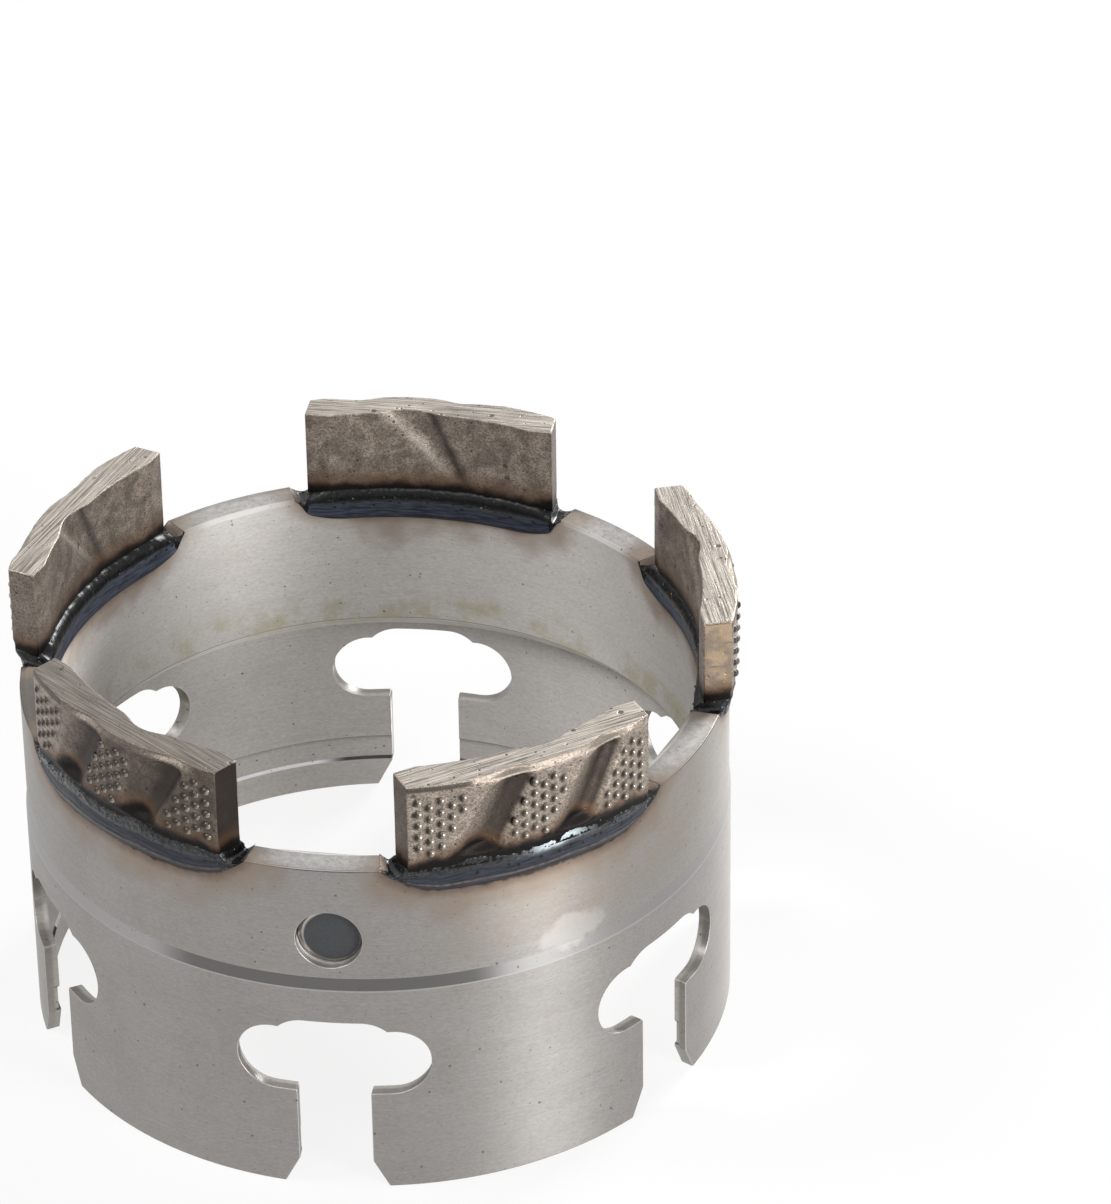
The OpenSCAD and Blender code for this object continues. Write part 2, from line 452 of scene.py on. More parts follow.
def with_levels(rows, heights, closed):
    """Adds border points where the border crosses a height, so that rows of edges can end there."""
    out = []
    for k, row in enumerate(rows):
        out.append(row)
        after = rows[(k + 1) % len(rows)]
        if row[0] != after[0] or (k == len(rows) - 1 and not closed):
            continue
        low, high = sorted((row[2], after[2]))
        inside = [z for z in heights if low + TOUCHING < z < high - TOUCHING]
        inside.sort(key=lambda z: abs(z - row[2]))
        out += [row + (after - row) * (z - row[2]) / (after[2] - row[2]) for z in inside]
    return np.array(out)


all_levels = sorted(set(levels(outer_profile) + levels(inner_profile)))
borders = [(with_levels(rows, all_levels, closed), closed) for rows, closed in borders]
print("rounding of an edge:", EDGE, "mm in", len(ROUNDING) - 1, "steps")

# %% [markdown]
# ## The two walls
# Between its borders a wall is filled with rows of points, and a Delaunay triangulation joins them. The rows
# at the profile's corners are kept as edges, so that the steps and the chamfers stay straight.


# %% Rows of a wall
def row_heights(profile):
    """Heights of all rows of points: the profile's levels, and even rows in between."""
    fixed = [EDGE] + levels(profile) + [ring_h - EDGE]
    heights = []
    for a, b in zip(fixed, fixed[1:]):
        count = max(1, round((b - a) / ROW_GAP))
        heights += [a + (b - a) * k / count for k in range(1 if a == EDGE else 0, count)]
    return heights


def in_material(spots, outlines):
    """Even-odd test of many points against closed outlines."""
    inside = np.zeros(len(spots), bool)
    x, y = spots[:, 0], spots[:, 1]
    for outline in outlines:
        for (ax, ay), (bx, by) in zip(outline, np.roll(outline, -1, axis=0)):
            if ay != by:
                crosses = (ay > y) != (by > y)
                inside ^= crosses & (x < (bx - ax) * (y - ay) / (by - ay) + ax)
    return inside


def crossings(rows, closed, z):
    """Border points at which the border passes a height."""
    found = []
    for k in range(0 if closed else 1, len(rows) if closed else len(rows) - 1):
        before, after = rows[k - 1][2] - z, rows[(k + 1) % len(rows)][2] - z
        if abs(rows[k][2] - z) < TOUCHING + 0.001 and before * after < 0:
            found.append(k)
    return found


# %% Rows of points
CLEAR = 0.45                                   # a row keeps this far from the borders
END_CLEAR = 0.5                                # and this far from the strip's right end


def joined(numbers, closed=False):
    """Edges from each point to the next."""
    return list(zip(numbers, numbers[1:] + numbers[:1] if closed else numbers[1:]))


def free_row(number, z, left, right, outlines, tree):
    """Even points of a row, in the wall and clear of its borders. Every second row is shifted."""
    across = np.arange(left, right, ROW_GAP)[1:] + ROW_GAP / 2 * (number % 2)
    row = np.stack([across, np.full_like(across, z)], axis=1)
    row = [tuple(p) for p in row[in_material(row, outlines)]]
    return [p for p in row if tree.find((*p, 0))[2] > CLEAR and p[0] < right - END_CLEAR]


def level_edges(z, row, starts, spots):
    """Edges along a row that has to stay straight. The row starts with the numbers of its two ends."""
    stops = row[:2]
    for start, (rows, closed) in zip(starts, borders):
        stops += [start + k for k in crossings(rows, closed, z)]
    stops.sort(key=lambda k: spots[k][0])
    edges = []
    for a, b in zip(stops[::2], stops[1::2]):
        edges += joined([a] + [k for k in row[2:] if spots[a][0] < spots[k][0] < spots[b][0]] + [b])
    return edges


# %% Filling a wall with triangles
def wall_triangles(profile):
    """Points on the unrolled strip and the triangles between them."""
    leads = [moved(strip_place(rows, profile), EDGE, closed) for rows, closed in borders]
    spots, edges, starts = [], [], []
    for lead, (rows, closed) in zip(leads, borders):
        starts.append(len(spots))
        edges += joined(list(range(len(spots), len(spots) + len(lead))), closed)
        spots += [tuple(p) for p in lead]
    tree = kdtree.KDTree(len(spots))
    for k, spot in enumerate(spots):
        tree.insert((*spot, 0), k)
    tree.balance()
    outlines = [np.vstack(leads[:2]), leads[2]]
    left, right = leads[0][0][0], leads[0][-1][0]
    left_end, right_end = [0], [len(leads[0]) - 1]
    for number, z in enumerate(row_heights(profile)):
        first = len(spots)
        spots += [(left, z), (right, z)] + free_row(number, z, left, right, outlines, tree)
        left_end.append(first)
        right_end.append(first + 1)
        if z in levels(profile):
            edges += level_edges(z, list(range(first, len(spots))), starts, spots)
    edges += joined(left_end + [starts[1] + len(leads[1]) - 1]) + joined(right_end + [starts[1]])
    made = geometry.delaunay_2d_cdt([Vector(p) for p in spots], edges, [], 0, 1e-5)
    places = [spots[origin[0]] if origin else tuple(p) for p, origin in zip(made[0], made[3])]
    triangles = np.array(made[2])
    middles = np.array(places)[triangles].mean(axis=1)
    return places, triangles[in_material(middles, outlines)]


# %% [markdown]
# ## Heat marks
# Brazing leaves straw and brown marks on the steel around each seam. The mesh carries one number for them:
# the distance from the nearest seam. The steel's material turns it into colour.


# %% Distance from the nearest seam
FAR = 20.0                                     # past this distance a seam leaves no mark


def seam_distance(angle, z):
    """Distance from a point of the wall to the nearest seam."""
    best = FAR
    for centre in seg_angles:
        away = abs((angle - centre + 180) % 360 - 180)
        sideways = math.radians(away) * band_r
        if sideways < seat_half:
            best = min(best, seat_z - z)
        else:
            best = min(best, math.hypot(sideways - seat_half, seat_z + seat_r - z) - seat_r)
    return max(0.0, best)


# %% Make the ring
def on_wall(profile, side, u, z, depth=0.0, turn=0.0, cut=None):
    """Place and normal of a point of the strip, on the wall itself or on the rounding beside a cut."""
    angle = math.degrees(u / LOOK_R)
    out = direction(FRONT + angle, 0)
    radius = float(turned(profile, z)) - side * depth
    normal = side * Vector((out.x, out.y, -float(slope(profile, z)))).normalized()
    if cut is not None:
        normal = normal * math.cos(math.radians(turn)) + Vector(cut) * math.sin(math.radians(turn))
    return (out.x * radius, out.y * radius, z), normal, (seam_distance(angle, z), turn / 90)


def make_ring():
    """Both walls, and the cut faces and rounded edges between them."""
    ring = Patches()
    sides = ((outer_profile, 1), (inner_profile, -1))
    for profile, side in sides:
        places, triangles = wall_triangles(profile)
        numbers = [ring.point(*on_wall(profile, side, u, z)) for u, z in places]
        for a, b, c in triangles:
            (ax, ay), (bx, by), (cx, cy) = places[a], places[b], places[c]
            ccw = (bx - ax) * (cy - ay) - (by - ay) * (cx - ax) > 0
            order = (a, b, c) if ccw == (side > 0) else (a, c, b)
            ring.face([numbers[k] for k in order])
    for rows, closed in borders:
        cuts = cut_normals(rows, closed)
        bands = []
        for profile, side in sides:
            loops = list(zip(ROUNDING, edge_loops(rows, profile, closed)))
            for turn, (flat, depth) in loops if side > 0 else loops[::-1]:
                row = [on_wall(profile, side, u, z, depth, turn, cut) for (u, z), cut in zip(flat, cuts)]
                bands.append([ring.point(*spot) for spot in row])
        for near, far in zip(bands, bands[1:]):
            for (a, b), (c, d) in zip(joined(near, closed), joined(far, closed)):
                ring.face([a, c, d, b])
    return ring.build("turned_ring", ["seam_distance", "cut_share"])


ring = make_ring()
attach(ring, "root")
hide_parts("crown_ring")
print("ring faces:", len(ring.data.polygons), "open edges and volume:", open_edges(ring))

# %% [markdown]
# ## Helpers for materials
# Materials and node trees are built in code. A Value stands for one output of a node, and sums written with
# it become Math nodes, so that a mask reads like the formula it is. Colours are Values too, or three plain
# numbers.


# %% Feeding nodes
def feed(target, value):
    """Links an input to a Value, or sets it. Colours are written without their fourth number."""
    if isinstance(value, Value):
        target.id_data.links.new(value.socket, target)
    else:
        target.default_value = (*value, 1.0) if target.type == "RGBA" else value


def connect(node, **values):
    """Feeds inputs of a node. Underscores in a name stand for spaces."""
    for name, value in values.items():
        feed(node.inputs[name.replace("_", " ")], value)


def add(tree, kind, inputs=None, **settings):
    """Adds a node and returns its first output."""
    made = tree.nodes.new(kind)
    for name, value in settings.items():
        setattr(made, name, value)
    for name, value in (inputs or {}).items():
        feed(made.inputs[name], value)
    return Value(made)


# %% Sums, masks and patterns
class Value:
    """One output of a node. Sums with it add Math nodes to the node's tree."""

    def __init__(self, node, key=0):
        self.tree, self.node, self.socket = node.id_data, node, node.outputs[key]

    def __getitem__(self, key):
        """Another output of the same node."""
        return Value(self.node, key)

    def math(self, operation, *others):
        return add(self.tree, "ShaderNodeMath", dict(enumerate((self, *others))), operation=operation)

    def __add__(self, other):
        return self.math("ADD", other)

    def __sub__(self, other):
        return self.math("SUBTRACT", other)

    def __rsub__(self, other):
        return add(self.tree, "ShaderNodeMath", {0: other, 1: self}, operation="SUBTRACT")

    def __mul__(self, other):
        return self.math("MULTIPLY", other)

    def __truediv__(self, other):
        return self.math("DIVIDE", other)

    def __rtruediv__(self, other):
        return add(self.tree, "ShaderNodeMath", {0: other, 1: self}, operation="DIVIDE")

    __radd__, __rmul__ = __add__, __mul__

    def spread(self, low, high, to_low=0.0, to_high=1.0):
        """Stretches the part between low and high over a new range, with soft ends."""
        return add(self.tree, "ShaderNodeMapRange", {
            "Value": self, "From Min": low, "From Max": high, "To Min": to_low, "To Max": to_high,
        }, interpolation_type="SMOOTHSTEP")

    def between(self, low, high, soft=0.05):
        """1 between two limits, 0 elsewhere."""
        return self.spread(low - soft, low + soft) * self.spread(high - soft, high + soft, 1.0, 0.0)

    def blend(self, first, second, mode="MIX"):
        """A colour between two others, with this value as the second one's share, held within 0 and 1."""
        inputs = {0: self, 6: first, 7: second}
        return add(self.tree, "ShaderNodeMix", inputs, data_type="RGBA", blend_type=mode)[2]

    def noise(self, size, detail=3.0, rough=0.55, distortion=0.0):
        """At this place, noise whose features are about size millimetres across."""
        return add(self.tree, "ShaderNodeTexNoise", {
            "Vector": self, "Scale": 1.0 / size, "Detail": detail, "Roughness": rough,
            "Distortion": distortion,
        })

    def stretched(self, factors):
        """A place with each of its axes scaled by its own factor."""
        return add(self.tree, "ShaderNodeVectorMath", {0: self, 1: factors}, operation="MULTIPLY")

    def scaled(self, factor):
        """A place or a colour times one factor."""
        return add(self.tree, "ShaderNodeVectorMath", {0: self, 3: factor}, operation="SCALE")


# %% Colours, reliefs, groups and materials
def paint(colour, *layers):
    """Lays tints over a colour, each given as a mask and the tint."""
    for mask, tint in layers:
        colour = mask.blend(colour, tint)
    return colour


def grey(level, warm=0.0):
    """A grey, slightly warm if asked."""
    return level * (1 + warm), level, level * (1 - warm)


def bump(height, strength, depth, **under):
    """Normals for a relief of a depth in millimetres, on top of other normals if given."""
    values = {"Strength": strength, "Distance": depth * MM, "Height": height, **under}
    return add(height.tree, "ShaderNodeBump", values)


def open_group(name, kind, inputs, outputs):
    """Starts a node group. Returns its tree, its inputs as a Value, and its output node."""
    tree = bpy.data.node_groups.new(name, kind)
    for label, socket_kind, value in inputs:
        socket = tree.interface.new_socket(label, in_out="INPUT", socket_type="NodeSocket" + socket_kind)
        if value is not None:
            socket.default_value = value
    for label, socket_kind in outputs:
        tree.interface.new_socket(label, in_out="OUTPUT", socket_type="NodeSocket" + socket_kind)
    return tree, Value(tree.nodes.new("NodeGroupInput")), tree.nodes.new("NodeGroupOutput")


def use(tree, group, **values):
    """Places a node group in a tree and feeds its inputs."""
    made = tree.nodes.new("ShaderNodeGroup")
    made.node_tree = group
    connect(made, **values)
    return Value(made)


def new_material(name):
    material = bpy.data.materials.new(name)
    material.use_nodes = True
    tree = material.node_tree
    return material, tree, tree.nodes["Principled BSDF"]


def attribute(tree, name, output="Fac"):
    return add(tree, "ShaderNodeAttribute", attribute_name=name)[output]


# %% [markdown]
# ## Effects that several finishes share
# Four effects come back on more than one finish. Turning marks are fine rings left by the lathe tool. Pits
# are small dark holes, scattered at random. Sintered grain is the look of pressed metal powder. Stains are
# soft clouds. All of them are measured in millimetres on the piece itself.


# %% Place on the piece and turning marks
def place_mm(tree):
    return add(tree, "ShaderNodeTexCoord")["Object"].scaled(1 / MM)


def cylinder_parts(place):
    """Both sideways parts of a place, its height, and its distance from the crown's axis."""
    parts = add(place.tree, "ShaderNodeSeparateXYZ", {0: place})
    x, y, height = parts[0], parts[1], parts[2]
    return x, y, height, (x * x + y * y).math("SQRT")


def make_turning_marks():
    tree, given, result = open_group("turning_marks", "ShaderNodeTree", [
        ("Lines per mm", "Float", 5.0), ("Length", "Float", 20.0),
    ], [("Fine", "Float"), ("Broad", "Float")])
    x, y, height, radius = cylinder_parts(place_mm(tree))
    across, length = (height + radius) * given["Lines per mm"], given["Length"]
    for label, factor in (("Fine", 1.0), ("Broad", 0.18)):
        drawn = add(tree, "ShaderNodeCombineXYZ", {0: x / length, 1: y / length, 2: across * factor})
        connect(result, **{label: drawn.noise(1.0, 2.0)})
    return tree


# %% Pits, grain and stains
def make_pits():
    tree, given, result = open_group("pits", "ShaderNodeTree", [
        ("Per mm", "Float", 1.0), ("Size", "Float", 0.1), ("Share", "Float", 0.3),
    ], [("Mask", "Float")])
    place, per_mm = place_mm(tree), given["Per mm"]
    wobble = add(tree, "ShaderNodeTexNoise", {"Vector": place, "Scale": 4.0, "Detail": 1.0})["Color"]
    moves = {0: wobble, 1: (0.25,) * 3, 2: place}
    shifted = add(tree, "ShaderNodeVectorMath", moves, operation="MULTIPLY_ADD")
    cells = add(tree, "ShaderNodeTexVoronoi", {"Vector": shifted, "Scale": per_mm, "Randomness": 1.0})
    chance = add(tree, "ShaderNodeSeparateColor", {0: cells["Color"]})
    radius = given["Size"] * (chance[1] + 0.35)
    spot = (cells["Distance"] / per_mm).spread(radius * 0.55, radius, 1.0, 0.0)
    connect(result, Mask=spot * chance[0].math("LESS_THAN", given["Share"]))
    return tree


def make_sintered_grain():
    tree, given, result = open_group("sintered_grain", "ShaderNodeTree", [
        ("Grain mm", "Float", 0.18),
    ], [("Tone", "Float"), ("Height", "Float")])
    place, size = place_mm(tree), given["Grain mm"]
    cells = add(tree, "ShaderNodeTexVoronoi", {"Vector": place, "Scale": 1.0 / size})
    tone = add(tree, "ShaderNodeSeparateColor", {0: cells["Color"]})
    soft = place.noise(size, 3.0, 0.65)
    connect(result, Tone=tone * 0.45 + soft * 0.55, Height=(1.0 - cells["Distance"]) * 0.5 + soft * 0.8)
    return tree


def make_stains():
    tree, given, result = open_group("stains", "ShaderNodeTree", [
        ("Size mm", "Float", 8.0), ("From", "Float", 0.45), ("To", "Float", 0.65),
    ], [("Mask", "Float")])
    cloud = place_mm(tree).noise(given["Size mm"], 5.0, 0.6, 0.4)
    connect(result, Mask=cloud.spread(given["From"], given["To"]))
    return tree


turning_marks, pits = make_turning_marks(), make_pits()
sintered_grain, stains = make_sintered_grain(), make_stains()
print("shared effects:", [g.name for g in bpy.data.node_groups])

# %% [markdown]
# ## Turned steel
# The ring is bare carbon steel, turned and then washed. It is a satin grey metal: the fine rings of the
# tool stretch each reflection up and down the wall. Anisotropy gives that, with a tangent around the axis
# and a quarter turn. Over the metal lie dark pits, a few rusty specks, soft stains, and heat marks beside
# the seams. Painted light makes the inside lighter, and painted highlights and painted shadows lie along
# the turned steps, the rim's chamfer and the rounded cut edges.

# %% Numbers for the steel
STEEL, STEEL_METAL, STEEL_ROUGH, STEEL_ANISO = 0.285, 0.8, 0.38, 0.8
BORE_LIGHT, BORE_ROUGH = 1.72, 0.24                  # painted light: how much lighter the inside is painted, and how much rougher it is
step_low, step_high = band_z - outer_step_h, band_z
groove_top = lip_h + groove_h
BARE_MIDDLE = (-50.5, 33.8)                    # azimuth and height of the patch wiped bare on the outside
BARE_FLATTEN = 1.8
Spot = namedtuple("Spot", "place height radius turn outside inside on_rim")


def steel_spot(tree):
    """Where a point of the ring lies: place, height, radius, angle in degrees, and three masks."""
    place = place_mm(tree)
    x, y, height, radius = cylinder_parts(place)
    turn = y.math("ARCTAN2", x) * (180 / math.pi)
    outside = radius.spread(band_r - 1.2, band_r - 0.6)
    on_rim = height.spread(ring_h - 0.12, ring_h - 0.03)
    return Spot(place, height, radius, turn, outside, 1.0 - outside, on_rim)


# %% Bare metal, and painted light and shade along the turned steps
def wall_tones(at, fine):
    """The metal itself, with turning marks, clouds and grain, and the inside painted lighter as painted
    light. Returns the grain as well.
    """
    outer = fine.blend(grey(STEEL * 0.9, 0.045), grey(STEEL * 1.08, 0.05))
    # painted light: the inside's grey is painted lighter than the outside's
    inner = fine.blend(grey(STEEL * BORE_LIGHT * 0.92, 0.04), grey(STEEL * BORE_LIGHT * 1.06, 0.045))
    clouds = use(fine.tree, stains, Size_mm=9.0, From=0.4, To=0.7)
    colour = (clouds * 0.3).blend(at.outside.blend(inner, outer), grey(0.8, 0.03), "MULTIPLY")
    grain = at.place.stretched((1.5, 1.5, 4.5)).noise(1.0, 4.0, 0.7).spread(0.3, 0.7, 0.9, 1.09)
    return colour.scaled(grain), grain


def painted_step_light(at, colour):
    """Painted highlights and painted shadows along the step outside, and along the groove, lip and shoulder
    inside.
    """
    shaded = at.turn.spread(-122, -112) * at.turn.spread(-68, -61, 1.0, 0.25)
    # painted light on the lip: white on one side of the ring, nearly black elsewhere
    lip_painted_light = at.turn.spread(104, 110).blend(grey(0.03), grey(1.0))
    # each row: a painted highlight on the outer step, painted shade on part of it, a painted highlight along
    # its lower edge, a painted shadow line at the groove's top, a painted highlight under the shoulder,
    # painted shadow on it, and the lip's painted light
    for wall, low, high, soft, share, tint in (
        (at.outside, step_low, step_high, 0.05, 0.75, grey(STEEL * 1.15, 0.02)),
        (at.outside * shaded, step_low, step_high, 0.05, 0.92, grey(STEEL * 0.4, 0.02)),
        (at.outside, step_low - 0.22, step_low, 0.04, 0.5, grey(STEEL * 1.5, 0.02)),
        (at.inside, groove_top - 0.14, groove_top + 0.06, 0.04, 0.75, grey(0.08, 0.04)),
        (at.inside, shoulder_z - 0.3, shoulder_z - 0.05, 0.04, 0.5, grey(0.75, 0.04)),
        (at.inside, shoulder_z - 0.05, shoulder_z + 0.12, 0.04, 0.6, grey(0.12, 0.04)),
        (at.inside, lip_h - 0.02, lip_h + 0.34, 0.05, 0.85, lip_painted_light),
    ):
        colour = paint(colour, (at.height.between(low, high, soft) * wall * share, tint))
    return colour


# %% Rim, cut edges and stained areas
def edge_tones(at, colour):
    """Worn rim, its chamfer with a painted highlight, its burr, the sooty faces of the cuts, and the middle
    of each rounded cut edge worn bare and given a painted highlight.
    """
    rough_height = at.place.noise(0.6, 4.0, 0.7) * 0.3 + at.height
    chamfer = at.height.spread(ring_h - 0.7, ring_h - 0.3)
    chamfer *= at.radius.spread(core_r + 0.35, core_r + 0.6, 1.0, 0.0)
    burr = at.radius.spread(band_r - 0.24, band_r - 0.1) * rough_height.between(ring_h - 0.1, ring_h + 0.4)
    cut = attribute(at.place.tree, "cut_share")
    near_lobe = at.height.spread(lobe_z - 3.0, lobe_z + 2.5, 0.1, 0.85)
    soot_and_shade = cut.spread(0.55, 0.9) * near_lobe * at.height.spread(shoulder_z - 2, shoulder_z, 1.0, 0.0)
    worn = at.place.noise(0.7, 4.0, 0.7).spread(0.3, 0.7, 0.8, 1.2)
    rim = add(at.place.tree, "ShaderNodeVectorMath", {0: grey(0.37, 0.025), 3: worn}, operation="SCALE")
    return paint(
        colour,
        (at.on_rim * 0.85, rim),
        # a painted highlight on the rim's inner chamfer
        (chamfer * 0.7, grey(0.6, 0.02)),
        (burr * 0.75, grey(0.05)),
        (soot_and_shade, (0.1, 0.095, 0.055)),
        # a painted highlight along the middle of each rounded cut edge, which is worn bare as well
        (cut.spread(0.1, 0.4) * cut.spread(0.6, 0.9, 1.0, 0.0) * 0.45, grey(0.6, 0.02)),
    )


def yellow_band(at):
    cloud = at.place.noise(5.0, 5.0, 0.65).spread(0.42, 0.62)
    return at.height.between(shoulder_z - 1.5, shoulder_z + 4.0, 1.5) * at.inside * cloud


def tanned_wall(at):
    """The part of the outer wall beside the heated segment."""
    around = at.turn.spread(-78, -64) * at.turn.spread(-28, -8, 1.0, 0.0)
    cloud = at.place.noise(4.0, 3.0).spread(0.3, 0.65, 0.4, 1.0)
    return around * at.outside * at.height.spread(band_z, band_z + 5) * cloud


def darker_rim_stretch(at):
    """A stretch of rim painted darker, beside the segment with painted shade."""
    return at.turn.spread(-179.9, -178) * at.turn.spread(-152, -146, 1.0, 0.0) * at.on_rim


def bare_distance(at):
    """Uneven distance from the middle of the bare patch, which is wider than it is high."""
    azimuth, height = BARE_MIDDLE
    middle = direction(azimuth, 0) * band_r + Vector((0, 0, height * BARE_FLATTEN))
    flat = at.place.stretched((1, 1, BARE_FLATTEN))
    away = add(flat.tree, "ShaderNodeVectorMath", {0: flat, 1: tuple(middle)}, operation="DISTANCE")["Value"]
    return away + at.place.noise(2.0, 3.0) * 5.0 + at.inside * 20.0


# %% Heat colours
def heat_colour(colour, distance):
    """Black-brown against a seam, then brown, then straw, then the bare metal."""
    place = place_mm(distance.tree)
    soft, fine = place.noise(7.0, 2.0), place.noise(1.2, 3.0)
    wide = distance + 4.1 - soft * 9.0
    near = distance + 1.25 - fine * 0.9 - soft * 1.6
    return paint(
        colour,
        (wide.spread(0.2, 5.2, 0.78, 0.0), (0.25, 0.195, 0.15)),
        (near.spread(0.1, 1.9, 0.8, 0.0), (0.13, 0.092, 0.07)),
        (near.spread(-0.1, 0.42, 0.92, 0.0), (0.022, 0.016, 0.014)),
    )


# %% Steel material
STEEL_PITS = (                                 # pits per mm, size, share, strength, tint
    (0.85, 0.17, 0.3, 0.7, grey(0.06)), (1.9, 0.085, 0.35, 0.6, grey(0.07)),
    (0.45, 0.15, 0.2, 0.6, (0.3, 0.1, 0.06)),
)


def make_steel():
    material, tree, shader = new_material("turned_steel")
    at, marks = steel_spot(tree), use(tree, turning_marks, Lines_per_mm=6.0, Length=14.0)
    colour, grain = wall_tones(at, marks["Fine"])
    colour = paint(painted_step_light(at, colour), (yellow_band(at) * 0.6, (0.38, 0.35, 0.23)))
    colour = paint(
        edge_tones(at, colour),
        (tanned_wall(at) * 0.36, (0.31, 0.25, 0.19)),
        (darker_rim_stretch(at) * 0.8, (0.075, 0.065, 0.053)),
    )
    bare = bare_distance(at)
    heated = attribute(tree, "seam_distance") + at.on_rim * 0.5 + at.inside * 0.6
    colour = heat_colour(colour, heated + bare.spread(5.2, 7.4, 2.5, 0.0))
    colour = paint(colour, (bare.spread(6.0, 7.6, 1.0, 0.0) * 0.55, grey(STEEL * 1.45, 0.05)))
    holes = [use(tree, pits, Per_mm=per_mm, Size=size, Share=share) for per_mm, size, share, *_ in STEEL_PITS]
    for hole, (*_, strength, tint) in zip(holes, STEEL_PITS):
        colour = paint(colour, (hole * strength, tint))
    relief = marks["Fine"] + grain * 0.5 - holes[0] * 2.0
    tangent = add(tree, "ShaderNodeTangent", direction_type="RADIAL", axis="Z")
    connect(shader, Base_Color=colour, Metallic=STEEL_METAL, Anisotropic=STEEL_ANISO,
            Anisotropic_Rotation=0.25, Tangent=tangent, Normal=bump(relief, 0.3, 0.01),
            Roughness=marks["Broad"] * 0.14 + at.inside * BORE_ROUGH + STEEL_ROUGH)
    return material


steel = make_steel()
ring.data.materials.append(steel)

# %% [markdown]
# ## Diamond segments
# A segment is pressed from metal powder and diamond grit, sintered, and ground flat on top. Its outer face
# has two leaning scoops that carry water, with raised pads between them, and its inner face has one groove.
# Simple functions give the relief of the faces as a depth in millimetres, so the same numbers place the
# studs and tell the seam where to climb. A segment's own axes are t, sideways along the face, and x,
# outwards.


# %% Sizes of the relief
LEAN = math.tan(math.radians(28))
SCOOPS = ((-9.2, -2.6), (3.9, 10.1))           # left crease and right edge of each outer scoop, half way up
SCOOP_DEPTH = 1.4
SCOOP_SKEW = 1.45                              # above 1, a scoop is deepest towards its right edge
FACE_INSET = 0.12                              # the pads lie this far back, so that the studs stand out
FOOT_DEPTH = 0.22                              # how far the foot of the outer face steps back
INNER_DEPTH = 0.95
WEAR, WORN_SPOTS = 0.3, (-3.4, 9.9)            # depth of the worn top edge, and where it is worn most


def seg_top(number):
    """Height of a segment's top, which differs a little from one to the next."""
    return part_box(f"segment_{number + 1}")[1].z / MM


# %% Scoops of the outer face
def ramp(value, start, end):
    """0 before start, 1 after end, and a soft step between."""
    f = np.clip((value - start) / (end - start), 0, 1)
    return f * f * (3 - 2 * f)


def scoop_share(t, z, top):
    """Place across the nearest scoop: 0 at its left crease, 1 at its right edge."""
    level = t - LEAN * (z - (seg_foot_z + top) / 2)
    shares = [(level - left) / (right - left) for left, right in SCOOPS]
    return np.where(level < (SCOOPS[0][1] + SCOOPS[1][0]) / 2, *shares)


def scoop_open(share, z, top):
    """1 inside a scoop, falling to 0 at its foot and under its arch."""
    arch = top - 0.5 - np.abs(2 * np.clip(share, 0, 1) - 1) ** 3
    return ramp(arch - z, 0.0, 1.2) * ramp(z, seg_foot_z + 0.9, seg_foot_z + 2.4)


def scoop_shade(t, z, top):
    """How much painted shade a scoop gets: a little past its left crease, most towards its right edge."""
    share = scoop_share(t, z, top)
    dark = 0.35 * ramp(share, -0.03, 0.06) + 0.65 * ramp(share, 0.2, 0.75)
    return dark * (1 - ramp(share, 0.8, 1.0)) * scoop_open(share, z, top)


def outer_relief(t, z, top):
    """Depth of the outer face under its cylinder."""
    share = scoop_share(t, z, top)
    across = np.sin(math.pi * np.clip(share, 0, 1) ** SCOOP_SKEW) * scoop_open(share, z, top)
    scoop = SCOOP_DEPTH * across * (0.75 + 0.25 * ramp(z, seg_foot_z + 2, top - 3))
    foot = FOOT_DEPTH * (1 - ramp(z, seg_foot_z + 0.7, seg_foot_z + 1.6))
    edge = bevel(t) * ramp(z, top - 0.95, top - 0.05)
    return FACE_INSET + np.maximum(scoop, np.maximum(foot, edge))


def bevel(t):
    """How far the top edge of the outer face is worn back."""
    depth = WEAR * ramp(t, -9.5, -7.5) * (1 - ramp(t, 12.5, 14.5))
    for centre in WORN_SPOTS:
        depth = depth + 0.7 * np.exp(-((t - centre) / 2.4) ** 2)
    return depth


# %% Inner face, filler and roughness
def groove_sides(down):
    """Sideways places of the two sides of the inner groove, at a depth under the top."""
    return 7.2 - 0.88 * down, -1.2 - 0.42 * down


def inner_relief(t, z, top):
    """Depth of the inner face under its cylinder."""
    left, right = groove_sides(top - z)
    return INNER_DEPTH * ramp(left - t, -0.6, 4.0) * ramp(t - right, -0.6, 3.8)


def outer_face(t, z, top):
    """Distance of the outer face from the middle of the ring, along x."""
    return np.sqrt(cut_r ** 2 - t ** 2) - outer_relief(t, z, top)


def inner_face(t, z, top):
    """The same for the inner face, which is a cylinder with its ends cut flat."""
    return np.maximum(np.sqrt(seg_inner_r ** 2 - t ** 2), seg_flat_x) + inner_relief(t, z, top)


def creep(t):
    """How far the filler has crept up the outer face: a little everywhere, more at the foot of each scoop."""
    climb = 0.45 - 0.35 * ramp(np.abs(t), seg_half - 2.6, seg_half - 0.4)
    for left, right in SCOOPS:
        climb = climb + 0.75 * np.exp(-((t - (left + right) / 2 + 2.4) / 2.4) ** 2)
    return climb


def rough(t, z, seed, size, octaves=3):
    """Fractal noise over arrays of places on a face."""
    t, z = np.broadcast_arrays(t, z)
    spots = zip(t.ravel() / size, z.ravel() / size)
    values = [noise.fractal(Vector((a, b, 7.3 * seed)), 0.8, 2.0, octaves) for a, b in spots]
    return np.array(values).reshape(t.shape)


print("outer scoop depth:", round(float(outer_relief(np.array(-4.6), np.array(54.0), 60.6)), 2), "mm")

